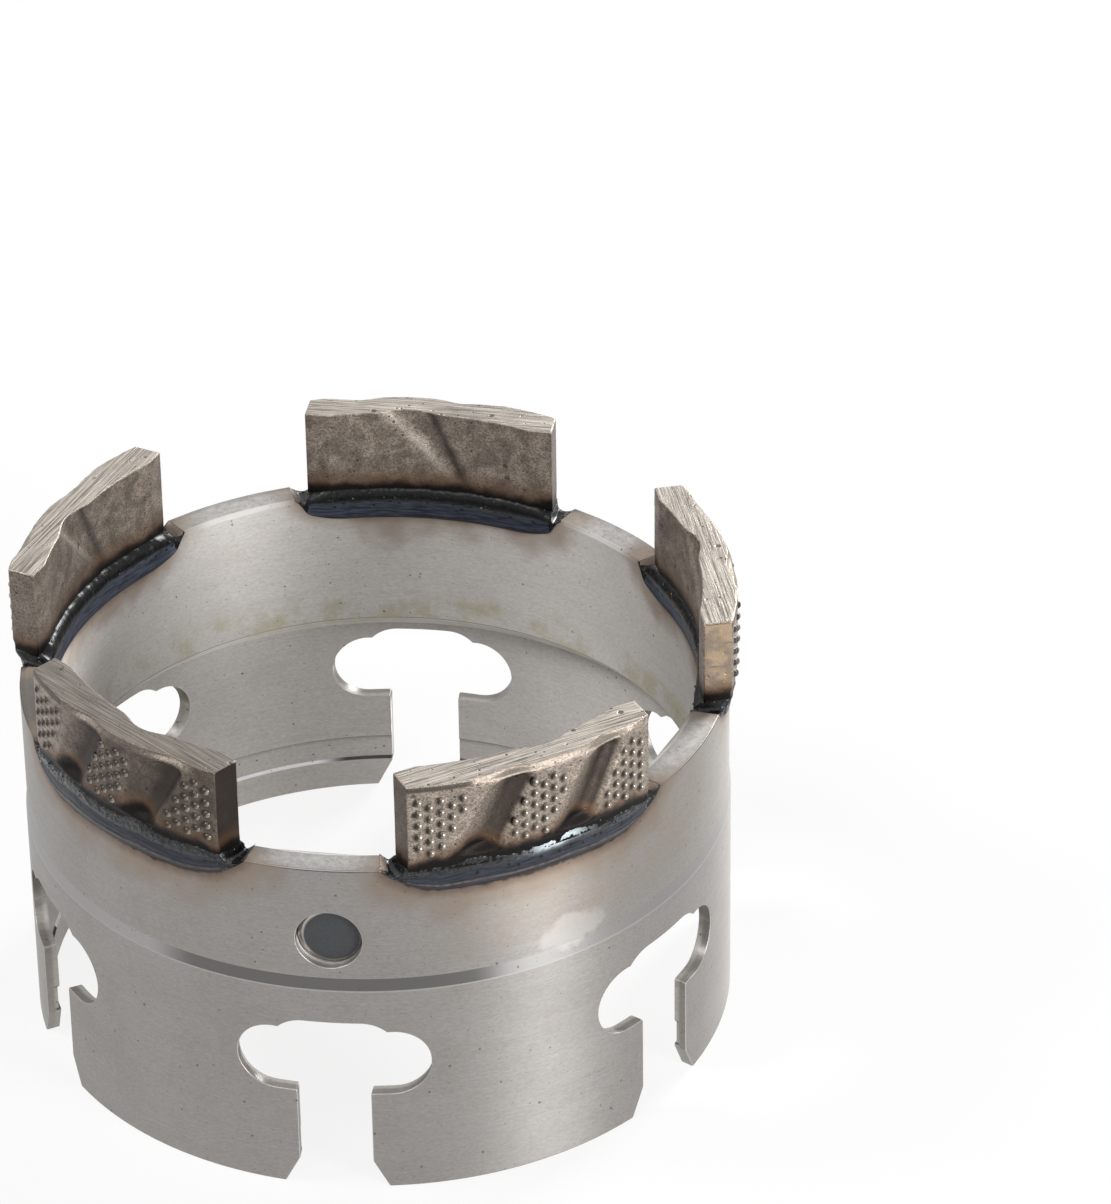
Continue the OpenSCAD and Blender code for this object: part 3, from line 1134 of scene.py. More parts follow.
# %% [markdown]
# ## Mesh of a segment
# The mesh is a bundle of cross-sections, one for every 0.2 mm along the segment. Each section runs up the
# outer face, across the ground top, down the inner face and back, with tiny round corners. The two end
# faces are grids between the first and last section's sides. Named values on the points tell the material
# what is where.

# %% Columns and rows
STEP = 0.2                                     # distance between sections and between rows
CORNER = 0.16                                  # radius of the corners
ACROSS = 18                                    # points across the top
SINK = 0.4                                     # how far a segment's foot reaches into its seam
UNEVEN, FINE_UNEVEN = 0.035, 0.02              # height of the coarse and fine bumps of the faces


def seg_columns():
    """Sideways places of the sections, and how far each is drawn in to round the ends."""
    flat = np.linspace(-seg_half + CORNER, seg_half - CORNER, round(2 * seg_half / STEP))
    turns = np.radians([30, 60, 90])
    ends = seg_half - CORNER + CORNER * np.sin(turns)
    drawn = CORNER * (1 - np.cos(turns))
    return np.concatenate([-ends[::-1], flat, ends]), np.concatenate([drawn[::-1], 0 * flat, drawn])


def seg_sections(seed, top):
    """t, x and z of all points, one row of the arrays for each section, and the number of rows on a face."""
    t, drawn = (a[:, None] for a in seg_columns())
    foot = seg_foot_z - SINK
    z = np.linspace(foot + CORNER, top - CORNER, round((top - foot) / STEP))[None, :] + 0 * t
    out_x = outer_face(t, z, top) - drawn + UNEVEN * rough(t, z, seed, 1.3)
    out_x += FINE_UNEVEN * rough(t, z, seed + 5, 0.45)
    in_x = inner_face(t, z, top) + drawn + UNEVEN * rough(t, z, seed + 9, 1.6)
    across = np.linspace(0, 1, ACROSS)[None, :]
    xs, zs = [out_x], [z]

    def corner(face_x, height, toward_x, toward_z, turns):
        for a in np.radians(turns):
            xs.append((face_x + toward_x * CORNER * (1 - math.cos(a)))[:, None])
            zs.append(height + toward_z * (CORNER * math.sin(a) - drawn))

    def line(start_x, end_x, height, toward_z):
        xs.append(start_x + (end_x - start_x) * across)
        zs.append(height - toward_z * drawn + 0 * across)

    corner(out_x[:, -1], top - CORNER, -1, 1, (30, 60))
    line(out_x[:, -1:] - CORNER, in_x[:, -1:] + CORNER, top, 1)
    corner(in_x[:, -1], top - CORNER, 1, 1, (60, 30))
    xs.append(in_x[:, ::-1])
    zs.append(z[:, ::-1])
    corner(in_x[:, 0], foot + CORNER, 1, -1, (30, 60))
    line(in_x[:, :1] + CORNER, out_x[:, :1] - CORNER, foot, -1)
    corner(out_x[:, 0], foot + CORNER, -1, -1, (60, 30))
    return t + 0 * np.hstack(xs), np.hstack(xs), np.hstack(zs), z.shape[1]


# %% Places of the studs
STUD_PITCH, STUD_ROW = 1.344, 1.66             # distance between columns, and between the studs of a column
STUD_TOP_ROW = 2.25                            # rows from the middle of the face to the top stud
STUD_RADIUS, STUD_HEIGHT = 0.5, 0.37
STUD_COLUMNS = [
    (-11.25, 0, 5), (-10.25, 0.5, 5), (-9.25, 0, 5), (-8.25, 0.5, 3), (-7.25, 0, 2),
    (-2.5, 3, 2), (-1.5, 1.5, 4), (-0.5, 0, 5),
]


def stud_places(top):
    """Sideways place and height of every stud, for columns given as (pitches, first row, count)."""
    middle = (seg_foot_z + top) / 2
    for half in (1, -1):
        for column, first, count in STUD_COLUMNS:
            for k in range(count):
                yield half * column * STUD_PITCH, middle + half * STUD_ROW * (STUD_TOP_ROW - first - k)


# %% End faces
def end_faces(grid, rows, spots):
    """Fills one end: a grid of new points between the two sides, closed by a strip above and below."""
    inner = rows + ACROSS + 4                  # first point of the inner face, after the top and two corners
    opposite = grid[inner:inner + rows][::-1]
    sides = [[number] for number in grid[:rows]]
    for side, far in zip(sides, opposite):
        start, end = Vector(spots[side[0]]), Vector(spots[far])
        for k in range(1, ACROSS - 1):
            spots.append(tuple(start.lerp(end, k / (ACROSS - 1))))
            side.append(len(spots) - 1)
        side.append(far)
    faces = [[a[k], a[k + 1], b[k + 1], b[k]] for a, b in zip(sides, sides[1:]) for k in range(ACROSS - 1)]
    faces.append(sides[-1] + [grid[k] for k in range(inner - 1, rows - 1, -1)])
    faces.append(sides[0][::-1] + [grid[k] for k in range(len(grid) - 1, inner + rows - 1, -1)])
    return faces


# %% Named values of a segment
SHADED_SEGMENT, SHADED_STUDS = 4, 1.05                 # the segment darkened by painted shade, and how much painted shade darkens its studs
HEATED = 1                                     # the segment with a burnt end
FACE_APART = 200                               # keeps the patterns of two faces of one segment apart
SEG_APART = 60                                 # and those of two segments


def face_places(x, t, z, ground, end, inner, number):
    """Place on the face for the patterns that run along it: length, height or depth, and nothing."""
    on_side = np.where(inner, 0, FACE_APART) + z
    depth = np.where(ground > 0, 2 * FACE_APART + x, np.where(end > 0, 3 * FACE_APART + z, on_side))
    return np.stack([np.where(end > 0, x, t) + SEG_APART * number, depth, 0 * depth], axis=1)


def seg_values(mesh, spots, top, number):
    """Numbers for the material: which face a point is on, how much painted shade its hollows get, how worn it
    is, painted light and shade at the inner groove, painted shade on one segment, the next stud.
    """
    x, t, z = np.array(spots).T
    inner = x < seg_inner_r + 1.5 - t ** 2 / 90
    ground = np.clip((z - (top - 0.02)) / 0.01, 0, 1)
    end = (np.abs(t) > seg_half - 0.01) * (1 - ground)
    # painted shade: strong in the outer scoops, slight in the inner groove
    hollow = np.where(inner, 0.25 * inner_relief(t, z, top) / INNER_DEPTH, scoop_shade(t, z, top))
    left, right = groove_sides(top - z)
    # painted light along one side of the inner groove, painted shade along the other
    groove = np.exp(-((t - left + 1.3) / 0.6) ** 2) - np.exp(-((t - right - 1.2) / 0.7) ** 2)
    side = (1 - ground) * (1 - end)
    # the ring of painted shade around each stud sits a little to its left and above it
    studs = np.array(list(stud_places(top))) + (-0.2, 0.08)
    nearest = np.min(np.hypot(t[:, None] - studs[:, 0], z[:, None] - studs[:, 1]), axis=1)
    near_top = ramp(z, top - 1.0, top - 0.75) * side * ~inner
    # painted shade over most of one segment's outer face, its top and its ends
    soot_and_shade = np.where((side > 0) & inner, 0, np.maximum(ramp(t, -13, -4), ramp(z, top - 0.5, top - 0.1)))
    set_values(
        mesh, ground=ground, end_face=end, inner_face=inner * side, above_foot=z - seg_foot_z,
        face_mm=face_places(x, t, z, ground, end, inner, number),
        hollow=hollow * side, groove_edge=groove * side * inner, creep_mm=creep(t) * side * ~inner,
        near_stud=np.where(inner | (side < 1), 5.0, np.minimum(nearest, 5.0)),
        worn_edge=near_top * ramp(bevel(t), 0.1, 0.35),
        rough_edge=near_top * (1 - ramp(t, -9.2, -8.2)) * (1 - ramp(z, top - 0.2, top - 0.1)),
        heated_end=end * (t < 0) * (number == HEATED), fouled=soot_and_shade * (number == SHADED_SEGMENT),
    )


# %% Make a segment
def to_ring(number, x, t, z):
    """From a segment's own axes to the ring's, in metres."""
    turn = math.radians(FRONT + seg_angles[number])
    cos, sin, x = math.cos(turn), math.sin(turn), x + seg_shifts[number]
    return (x * cos - t * sin) * MM, (x * sin + t * cos) * MM, z * MM


def make_segment(number):
    top = seg_top(number)
    t, x, z, rows = seg_sections(number + 1, top)
    spots = [tuple(p) for p in np.stack([x.ravel(), t.ravel(), z.ravel()], axis=1)]
    faces, first, last = tube_faces(*t.shape, flip=True)
    faces += end_faces(last, rows, spots)
    faces += [f[::-1] for f in end_faces(first, rows, spots)]
    piece = new_piece(f"diamond_segment_{number + 1}", [to_ring(number, *p) for p in spots], faces)
    seg_values(piece.data, spots, top, number)
    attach(piece, "root")
    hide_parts(f"segment_{number + 1}")
    return piece


segments = [make_segment(number) for number in range(5)]
print("segment faces:", [len(s.data.polygons) for s in segments], "open edges:", open_edges(segments[0]))

# %% [markdown]
# ## Sintered metal
# The sides are dull brown-grey pressed powder: fine light and dark grains, small pores, painted shade in
# the hollows and around the studs, brown heat and soot near the seam. The top is ground, so it is paler and
# brighter, with long straight scratches.


# %% Sides of a segment
def powder(tree, tone, inner, end, fouled):
    """Pressed powder with clouds, painted light and painted shade on the two sides of the inner groove,
    darker end faces, and painted shade over most of one segment.
    """
    clouds = use(tree, stains, Size_mm=2.6, From=0.35, To=0.65)
    groove = attribute(tree, "groove_edge")
    shade_cloud = place_mm(tree).noise(3.0, 3.0).spread(0.3, 0.6, 0.5, 0.85) + end * 0.25
    return paint(
        tone.spread(0.2, 0.8).blend((0.19, 0.157, 0.127), (0.5, 0.425, 0.36)),
        (clouds * (inner * 0.25 + 0.35), (0.085, 0.07, 0.058)),
        (inner * 0.1, (0.075, 0.066, 0.06)),
        # painted light on one side of the inner groove, then painted shade on the other
        (groove * tone.spread(0.3, 0.7, 0.35, 0.8), (0.42, 0.37, 0.33)),
        (groove * -0.75, (0.03, 0.026, 0.023)),
        (end * 0.5, (0.036, 0.03, 0.026)),
        # painted shade on one segment, in clouds, and darker on its ends
        (fouled * shade_cloud, (0.06, 0.046, 0.037)),
        (fouled * end * 0.6, (0.02, 0.016, 0.014)),
    )


def burnt_end(tree):
    """Colour of the end face that a torch has burnt: brown layers with pale patches."""
    face = attribute(tree, "face_mm", "Vector")
    layers = face.stretched((0.12, 1.1, 1)).noise(1.0, 4.0, 0.7).spread(0.3, 0.42)
    patches = face.noise(2.2, 3.0).spread(0.4, 0.6, 0.0, 0.7)
    return paint((0.09, 0.06, 0.042), (layers, (0.5, 0.37, 0.25)), (patches, (0.24, 0.2, 0.165)))


def side_colour(tree, tone, pores, worn, inner, end, fouled):
    """The powder with painted shade in its hollows and around its studs, pores and worn edges, and with heat
    and soot above the seam.
    """
    hollow, foot = attribute(tree, "hollow"), attribute(tree, "above_foot")
    gold = hollow.spread(0.2, 0.35) * hollow.spread(0.35, 0.8, 1.0, 0.0) * foot.spread(1.8, 5.5, 0.75, 0.0)
    smoke = place_mm(tree).noise(2.5, 4.0)
    height = foot + 1.15 - smoke * 1.8 - attribute(tree, "creep_mm") * 2.4 - inner * 0.9 - end * 0.7
    return paint(
        powder(tree, tone, inner, end, fouled),
        # painted shade in the scoops and the inner groove
        (hollow.spread(0.1, 0.9, 0.0, 0.92), (0.038, 0.029, 0.024)),
        (gold, (0.25, 0.175, 0.105)),
        # painted shade in a ring around each stud
        (attribute(tree, "near_stud").spread(0.4, 0.76, 0.7, 0.0), (0.02, 0.016, 0.014)),
        (pores * 0.75, (0.03, 0.025, 0.022)),
        (tone.spread(0.86, 0.95) * 0.5, (0.55, 0.48, 0.41)),
        (worn, (0.2, 0.172, 0.145)),
        (attribute(tree, "rough_edge") * 0.8, (0.055, 0.048, 0.044)),
        (attribute(tree, "heated_end") * 0.8, burnt_end(tree)),
        (height.spread(0.4, inner + 3.2, 0.85, 0.0), (0.125, 0.07, 0.04)),
        (height.spread(0.1, 1.5, 0.98, 0.0), (0.007, 0.006, 0.006)),
    )


# %% Segment material
def make_sintered():
    material, tree, shader = new_material("sintered_matrix")
    names = ("ground", "end_face", "inner_face", "fouled")
    ground, end, inner, fouled = (attribute(tree, name) for name in names)
    grain = use(tree, sintered_grain, Grain_mm=0.17)
    tone, face = grain["Tone"], attribute(tree, "face_mm", "Vector")
    nicks = use(tree, pits, Per_mm=0.5, Size=0.4, Share=0.5) * 0.85
    pores = use(tree, pits, Per_mm=1.1, Size=0.18, Share=0.5).math("MAXIMUM", nicks)
    worn = attribute(tree, "worn_edge") * tone.spread(0.3, 0.7, 0.25, 0.8)
    scratches = face.stretched((0.1, 4.6, 1)).noise(1.0, 4.0, 0.75)
    slits = face.stretched((0.22, 2.2, 1)).noise(1.0, 4.0, 0.6).spread(0.63, 0.7)
    top = paint(
        scratches.spread(0.34, 0.66).blend((0.13, 0.108, 0.09), (0.68, 0.62, 0.55)),
        (slits * 0.85, (0.05, 0.044, 0.04)),
        (pores * 0.9, (0.03, 0.026, 0.024)),
        # painted shade on that segment's ground top
        (fouled * 0.62, (0.09, 0.075, 0.063)),
    )
    sides = side_colour(tree, tone, pores, worn, inner, end, fouled)
    grains = bump(grain["Height"] - pores * 1.5, 0.7, 0.06)
    connect(shader, Base_Color=ground.blend(sides, top), Metallic=0.85,
            Roughness=0.46 - worn * 0.1 - ground * 0.1,
            Normal=bump(scratches - slits, ground * 0.6, 0.05, Normal=grains))
    return material


sintered = make_sintered()
for segment in segments:
    segment.data.materials.append(sintered)

# %% [markdown]
# ## Studs on the pads
# Each raised pad carries a field of small round studs, moulded with the segment. They stand in columns,
# every second column half a row lower, and the right half of a face is the left half turned over. What
# repeats like this is a job for Geometry Nodes: the script only gives the places, and the tree puts a stud
# on each one, turns it along the face, varies its size a little, and hands back real mesh.

# %% Points for the studs
NEARBY = 0.3                                   # step over which the face's slope is measured


def stud_points(number):
    """A cloud of points on the outer face, each with the direction in which its stud looks."""
    top = seg_top(number)
    places, looks = [], []
    for t, z in stud_places(top):
        spots = ((t, z), (t + NEARBY, z), (t, z + NEARBY))
        x, beside, above = (float(outer_face(np.array(a), np.array(b), top)) for a, b in spots)
        look = Vector((1, -(beside - x) / NEARBY, -(above - x) / NEARBY)).normalized()
        places.append(to_ring(number, x, t, z))
        tip = Vector(to_ring(number, x + look.x, t + look.y, z + look.z))
        looks.append((tip - Vector(places[-1])).normalized())
    cloud = new_piece(f"studs_{number + 1}", places, [])
    set_values(cloud.data, look=np.array(looks))
    return cloud


# %% Geometry Nodes helpers
def named(tree, name, kind="FLOAT"):
    return add(tree, "GeometryNodeInputNamedAttribute", {"Name": name}, data_type=kind)


def open_tree(name, inputs):
    """Starts a geometry tree that takes points or a mesh, a shape to put on it, a seed and a material."""
    shared = [("Geometry", "Geometry", None), ("Shape", "Object", None), ("Seed", "Int", 1),
              ("Material", "Material", None)]
    return open_group(name, "GeometryNodeTree", shared + inputs, [("Geometry", "Geometry")])


def place_shapes(tree, given, result, **placing):
    """Puts the shape on points, makes it real mesh with smooth shading, and gives it the material."""
    shape = add(tree, "GeometryNodeObjectInfo", {"Object": given["Shape"]})["Geometry"]
    placed = add(tree, "GeometryNodeInstanceOnPoints", {"Instance": shape, **placing})
    real = add(tree, "GeometryNodeRealizeInstances", {0: placed})
    smooth = add(tree, "GeometryNodeSetShadeSmooth", {0: real})
    final = add(tree, "GeometryNodeSetMaterial", {"Geometry": smooth, "Material": given["Material"]})
    connect(result, Geometry=final)


def apply_tree(piece, tree, **values):
    """Runs a geometry tree on a piece and keeps the result as plain mesh. Underscores stand for spaces."""
    modifier = piece.modifiers.new(tree.name, "NODES")
    modifier.node_group = tree
    names = {item.name: item.identifier for item in tree.interface.items_tree if item.in_out == "INPUT"}
    for name, value in values.items():
        modifier[names[name.replace("_", " ")]] = value
    bpy.context.view_layer.update()
    ready = piece.evaluated_get(bpy.context.evaluated_depsgraph_get())
    mesh = bpy.data.meshes.new_from_object(ready)
    piece.modifiers.clear()
    piece.data = mesh
    return piece


# %% Stud shape and tree
STUD_AROUND = 12


def make_stud_shape():
    """A low dome of radius 1 with a flared foot, closed underneath, where it sinks into the face."""
    rings = [(1.25, -0.25), (1.0, 0.05), (0.8, 0.55), (0.42, 0.9)]
    turns = [2 * math.pi * k / STUD_AROUND for k in range(STUD_AROUND)]
    points = [(r * math.cos(a), r * math.sin(a), h) for r, h in rings for a in turns]
    points += [(0, 0, 1), (0, 0, -0.3)]
    faces, foot, crest = tube_faces(len(rings), STUD_AROUND)
    tip, back = len(points) - 2, len(points) - 1
    faces += [[a, b, tip] for a, b in zip(crest, crest[1:] + crest[:1])]
    faces += [[b, a, back] for a, b in zip(foot, foot[1:] + foot[:1])]
    return new_piece("stud_shape", points, faces)


def make_stud_tree():
    tree, given, result = open_tree("studs_on_pads", [
        ("Radius", "Float", STUD_RADIUS * MM), ("Height", "Float", STUD_HEIGHT * MM),
        ("Uneven", "Float", 0.1),
    ])
    look, uneven = named(tree, "look", "FLOAT_VECTOR"), given["Uneven"]
    turn = add(tree, "FunctionNodeAlignRotationToVector", {"Vector": look}, axis="Z")
    limits = {2: 1.0 - uneven, 3: uneven + 1.0, "Seed": given["Seed"]}
    vary = add(tree, "FunctionNodeRandomValue", limits, data_type="FLOAT")[1]
    wide = given["Radius"] * vary
    size = add(tree, "ShaderNodeCombineXYZ", {0: wide, 1: wide, 2: given["Height"] * vary})
    place_shapes(tree, given, result, Points=given["Geometry"], Rotation=turn, Scale=size)
    return tree


# %% Put the studs on
def make_stud_metal():
    """Painted light on each stud: a painted highlight on its right side and painted shade on its left."""
    material, tree, shader = new_material("stud_metal")
    grain = place_mm(tree).noise(0.3, 3.0, 0.6)
    side = attribute(tree, "side") + grain * 0.6
    connect(shader, Base_Color=side.spread(-0.7, 0.7).blend((0.045, 0.037, 0.031), (0.42, 0.365, 0.31)),
            Metallic=0.85, Roughness=grain.spread(0.3, 0.7, 0.34, 0.2), Normal=bump(grain, 0.3, 0.04))
    return material


def stud_sides(number, mesh):
    """How far each corner lies to the side of its own stud's middle, in radii, which places each stud's
    painted highlight and painted shade, and less on the segment with painted shade.
    """
    spots = np.empty(len(mesh.vertices) * 3)
    mesh.vertices.foreach_get("co", spots)
    x, y, z = spots.reshape(-1, 3).T / MM
    turn = math.radians(FRONT + seg_angles[number])
    t = y * math.cos(turn) - x * math.sin(turn)
    studs = np.array(list(stud_places(seg_top(number))))
    nearest = np.argmin(np.hypot(t[:, None] - studs[:, 0], z[:, None] - studs[:, 1]), axis=1)
    # the studs of the segment with painted shade get more painted shade
    darker = SHADED_STUDS if number == SHADED_SEGMENT else 0.0
    return ((t - studs[nearest, 0]) - 0.4 * (z - studs[nearest, 1])) / STUD_RADIUS - darker


def add_studs():
    shape, tree, metal = make_stud_shape(), make_stud_tree(), make_stud_metal()
    for number in range(5):
        piece = apply_tree(stud_points(number), tree, Shape=shape, Seed=number, Material=metal)
        set_values(piece.data, side=stud_sides(number, piece.data))
        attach(piece, "root")
        print(piece.name, "has", len(piece.data.polygons), "faces")
    bpy.data.objects.remove(shape)


add_studs()

# %% [markdown]
# ## Brazed seams
# The filler metal runs out of the joint when it is molten, and freezes as a bead along both sides of the
# segment, with a lump at each end where it is free. It fills the shallow seat in the rim, stands a little
# proud of the wall, and creeps up the segment, highest inside the scoops. The mesh is again a bundle of
# sections along the seat: up the outer bead, across under the segment, down the inner bead, and back along
# the seat's floor.


# %% Floor and free ends of a seam
SEAM_STEP = 0.18                               # distance between sections
ROOT = 0.04                                    # how far a bead's lower edge lies inside the wall
OUTER_ROWS, UNDER_ROWS, INNER_ROWS = 26, 10, 24
LUMP_PLACES = 60                               # places around a section that have their own lumps
TUCKED = 0.14                                  # how far the beads' tops lie under the segment's faces


def seat_floor(t):
    """Height of the seat's floor at a sideways distance from its middle."""
    past = np.maximum(np.abs(t) - seat_half, 0)
    return np.minimum(seat_z + seat_r - np.sqrt(np.maximum(seat_r ** 2 - past ** 2, 0)), ring_h)


def free_top(t):
    """Height of the filler past the segment's end: it clings to the end face, sags, and meets the rim."""
    past = np.clip((np.abs(t) - seg_half) / (seat_end - seg_half), 0, 1)
    return ring_h - 0.05 - 0.75 * np.sin(math.pi * past ** 0.8) - 0.15 * np.exp(-past / 0.2)


# %% Sections of a seam
def seam_tops(number, t, free, close, coarse, top):
    """Radius and height of both beads' tops: against the segment, and at the free ends just under the rim."""
    held, under = np.clip(t, -seg_half, seg_half), 1 - free
    near_end = ramp(np.abs(t), seg_half - 2.6, seg_half - 0.4)
    out_z = seg_foot_z + creep(held) + 0.16 * coarse[:, 5]
    in_z = seg_foot_z + 0.5 - 0.4 * near_end + 0.14 * coarse[:, 30]
    out_r = np.hypot(outer_face(held, out_z, top) + seg_shifts[number] - TUCKED, held)
    in_r = np.hypot(inner_face(held, in_z, top) + seg_shifts[number] + TUCKED, held)
    free_z = (free_top(t) - 0.1 * close) * free
    return (out_r * under + (band_r - 0.1) * free, out_z * under + free_z,
            in_r * under + (core_r + 0.12) * free, in_z * under + free_z)


def seam_sections(number, top):
    """Radius, height and named values of all points of a seam, one row of the arrays for each section."""
    seed = number + 20
    t = np.linspace(-seat_end, seat_end, round(2 * seat_end / SEAM_STEP))
    free = ramp(np.abs(t), seg_half - 0.1, seg_half + 0.45)
    under, slim = 1 - free, 0.35 + 0.65 * (1 - free)
    close = np.sqrt(np.clip((seat_end - np.abs(t)) / 0.9, 0, 1))
    floor = seat_floor(t)
    around = np.linspace(0, 9, LUMP_PLACES)[None, :]
    coarse = rough(t[:, None], around, seed, 1.3, 2)
    fine = rough(t[:, None], around, seed + 50, 0.42, 3)
    crust = (0.1 * coarse + 0.11 * fine) * (close * slim)[:, None]
    out_r, out_z, in_r, in_z = seam_tops(number, t, free, close, coarse, top)
    rows = []

    def row(radius, height, rise, inside):
        rows.append((radius, height, rise + 0 * t, inside + 0 * t))

    for f in np.linspace(0, 1, OUTER_ROWS):
        low = floor - 0.14 * close
        roll = 0.1 * np.exp(-((f - 0.2) / 0.04) ** 2) - 0.05 * np.exp(-((f - 0.28) / 0.03) ** 2)
        swell = 0.24 * math.sin(math.pi * min(f / 0.66, 1))
        swell += 0.3 * ramp(f, 0.52, 0.68) * (1 - ramp(f, 0.86, 1))
        bumps = crust[:, int(f * 24)] * ramp(f, 0.52, 0.66) * (1 - ramp(f, 0.94, 1.0))
        bulge = (roll + swell * slim + bumps) * close
        row((band_r - ROOT) * (1 - f ** 1.5) + out_r * f ** 1.5 + bulge, low + (out_z - low) * f, f, 0.0)
    for f in np.linspace(0, 1, UNDER_ROWS)[1:-1]:
        sag = (-0.16 * math.sin(math.pi * f) + crust[:, 25 + int(f * 9)] * 1.4) * free * close
        row(out_r + (in_r - out_r) * f, out_z + (in_z - out_z) * f + sag, 1.0, 0.5)
    for f in np.linspace(1, 0, INNER_ROWS):
        low = floor - 0.12 * close
        roll = 0.1 * np.exp(-((f - 0.05) / 0.035) ** 2)
        rope = 0.55 * math.sin(math.pi * min((f - 0.46) / 0.54, 1)) ** 0.6 if f > 0.46 else 0.0
        bumps = crust[:, 35 + int(f * 24)] * ramp(f, 0.46, 0.6) * (1 - ramp(f, 0.94, 1.0))
        bulge = (roll + 0.04 + rope * under + 0.3 * bumps) * close
        row((core_r + ROOT) * (1 - f ** 2) + in_r * f ** 2 - bulge, low + (in_z - low) * f, f, 1.0)
    for f in (0.2, 0.4, 0.6, 0.8):
        row(core_r + 0.25 + (band_wall - 0.5) * f + 0 * t, floor - 0.05 * close, 0.0, 1 - f)
    radius, height, rise, inside = (np.stack(values, axis=1) for values in zip(*rows))
    return t, radius, height, rise, inside


# %% Make a seam
SLAGGED, SLAG_T, SLAG_RISE = 0, 2.6, 0.84      # the seam with a patch of pale slag, and the patch's middle


def make_seam(number):
    t, radius, z, rise, inside = seam_sections(number, seg_top(number))
    turn = math.radians(FRONT + seg_angles[number]) + cut_angle(t[:, None], radius, ring_h)
    place = np.stack([radius * np.cos(turn), radius * np.sin(turn), z], axis=2).reshape(-1, 3) * MM
    faces, first, last = tube_faces(*z.shape, flip=True)
    piece = new_piece(f"seam_bead_{number + 1}", place.tolist(), faces + [first, last[::-1]])
    along = t[:, None] + 0 * z
    slag = 1.3 * np.exp(-((along - SLAG_T) / 3.0) ** 2 - ((rise - SLAG_RISE) / 0.14) ** 2)
    slag = slag * (inside < 0.1) * (number == SLAGGED)
    free = ramp(np.abs(along), seg_half - 0.5, seg_half + 0.3)
    flow = np.stack([along + SEG_APART * number, 4 * rise + 20 * inside, 0 * z], axis=2)
    set_values(piece.data, rise=rise.ravel(), inside=inside.ravel(), slag=slag.ravel(), free_end=free.ravel(),
               flow_mm=flow.reshape(-1, 3))
    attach(piece, "root")
    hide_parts(f"braze_seam_{number + 1}")
    return piece


seams = [make_seam(number) for number in range(5)]
print("seam faces:", [len(s.data.polygons) for s in seams], "open edges:", open_edges(seams[0]))

# %% [markdown]
# ## Oxide on the seams
# Frozen filler is covered with blue-black scale. The lower half of a bead is smooth and slightly blue, and
# the upper half is rough, glassy and black, with painted highlights in pale streaks, pale slag and a few
# copper specks.


# %% Painted highlights on the crust, copper, holes and the roll of a seam
def crust_highlights(place, streaked, rise, free, outer):
    """Pale streaks on the upper half, painted as highlights on the glassy crust, less at the free ends and on
    the inside.
    """
    streaks = streaked.noise(0.45, 5.0, 0.75).spread(0.6, 0.68) * rise.spread(0.5, 0.68, 0.0, 0.75)
    patches = place.noise(2.2, 2.0).spread(0.4, 0.58)
    return streaks * patches * (1.0 - free * 0.8) * (outer * 0.7 + 0.3)


def hole_mask(flow, rise):
    """Gas holes half way up."""
    cells = add(flow.tree, "ShaderNodeTexVoronoi", {"Vector": flow, "Scale": 0.6}, voronoi_dimensions="2D")
    return cells["Distance"].spread(0.1, 0.15, 1.0, 0.0) * rise.between(0.36, 0.8, 0.03)


def roll_mask(cloud, rise, upper, outer):
    """The roll low on the outer bead, where heat has turned the scale brown."""
    line = rise.spread(0.15, 0.19) * rise.spread(0.2, 0.26, 0.6, 0.0)
    return line * (1.0 - upper) * outer * cloud.spread(0.35, 0.6, 0.3, 1.0)


# %% Seam material
def make_oxide():
    material, tree, shader = new_material("seam_oxide")
    rise, free, inside = (attribute(tree, name) for name in ("rise", "free_end", "inside"))
    place, flow = place_mm(tree), attribute(tree, "flow_mm", "Vector")
    outer, cloud = 1.0 - inside, place.noise(0.9, 4.0, 0.6)
    streaked = flow.stretched((0.35, 4.0, 1))
    lines = streaked.noise(1.0, 3.0, 0.6)
    upper = (rise + cloud * 0.3 + free * 0.7).spread(0.66, 0.84)
    holes = hole_mask(flow, rise)
    copper = use(tree, pits, Per_mm=1.7, Size=0.13, Share=0.12) * (inside * 0.6 + 0.4)
    blue = lines.spread(0.32, 0.68).blend((0.006, 0.007, 0.0105), (0.03, 0.036, 0.054))
    black = place.noise(0.4, 3.0).spread(0.4, 0.75).blend((0.003, 0.0035, 0.0045), (0.024, 0.027, 0.031))
    colour = paint(
        upper.blend(blue.scaled(inside * 0.9 + 1.0), black.scaled(1.0 - inside * 0.7)),
        # painted highlights in pale streaks on the crust
        (crust_highlights(place, streaked, rise, free, outer), (0.27, 0.3, 0.31)),
        (attribute(tree, "slag") * lines.spread(0.3, 0.5, 0.9, 1.3), (0.58, 0.66, 0.7)),
        (copper * upper, (0.5, 0.27, 0.12)),
        (holes * 0.95, (0.003, 0.003, 0.003)),
        (roll_mask(cloud, rise, upper, outer), (0.2, 0.155, 0.125)),
        (rise.spread(0.0, 0.12, 0.92, 0.0), (0.014, 0.011, 0.01)),
    )
    lumps = place.noise(0.28, 4.0, 0.65) * (upper * 0.75 + 0.08) * (1.0 - free * 0.7) * (1.0 - inside * 0.6)
    connect(shader, Base_Color=colour, Metallic=0.1, Specular_IOR_Level=0.33 - inside * 0.12,
            Roughness=0.4 - free * 0.06 - upper * 0.22 + inside * upper * 0.1,
            Coat_Weight=upper * (0.22 - inside * 0.15), Coat_Roughness=0.08,
            Normal=bump(lumps - holes * 1.2 + lines * 0.2, 0.85, 0.14))
    return material


oxide = make_oxide()
for seam in seams:
    seam.data.materials.append(oxide)

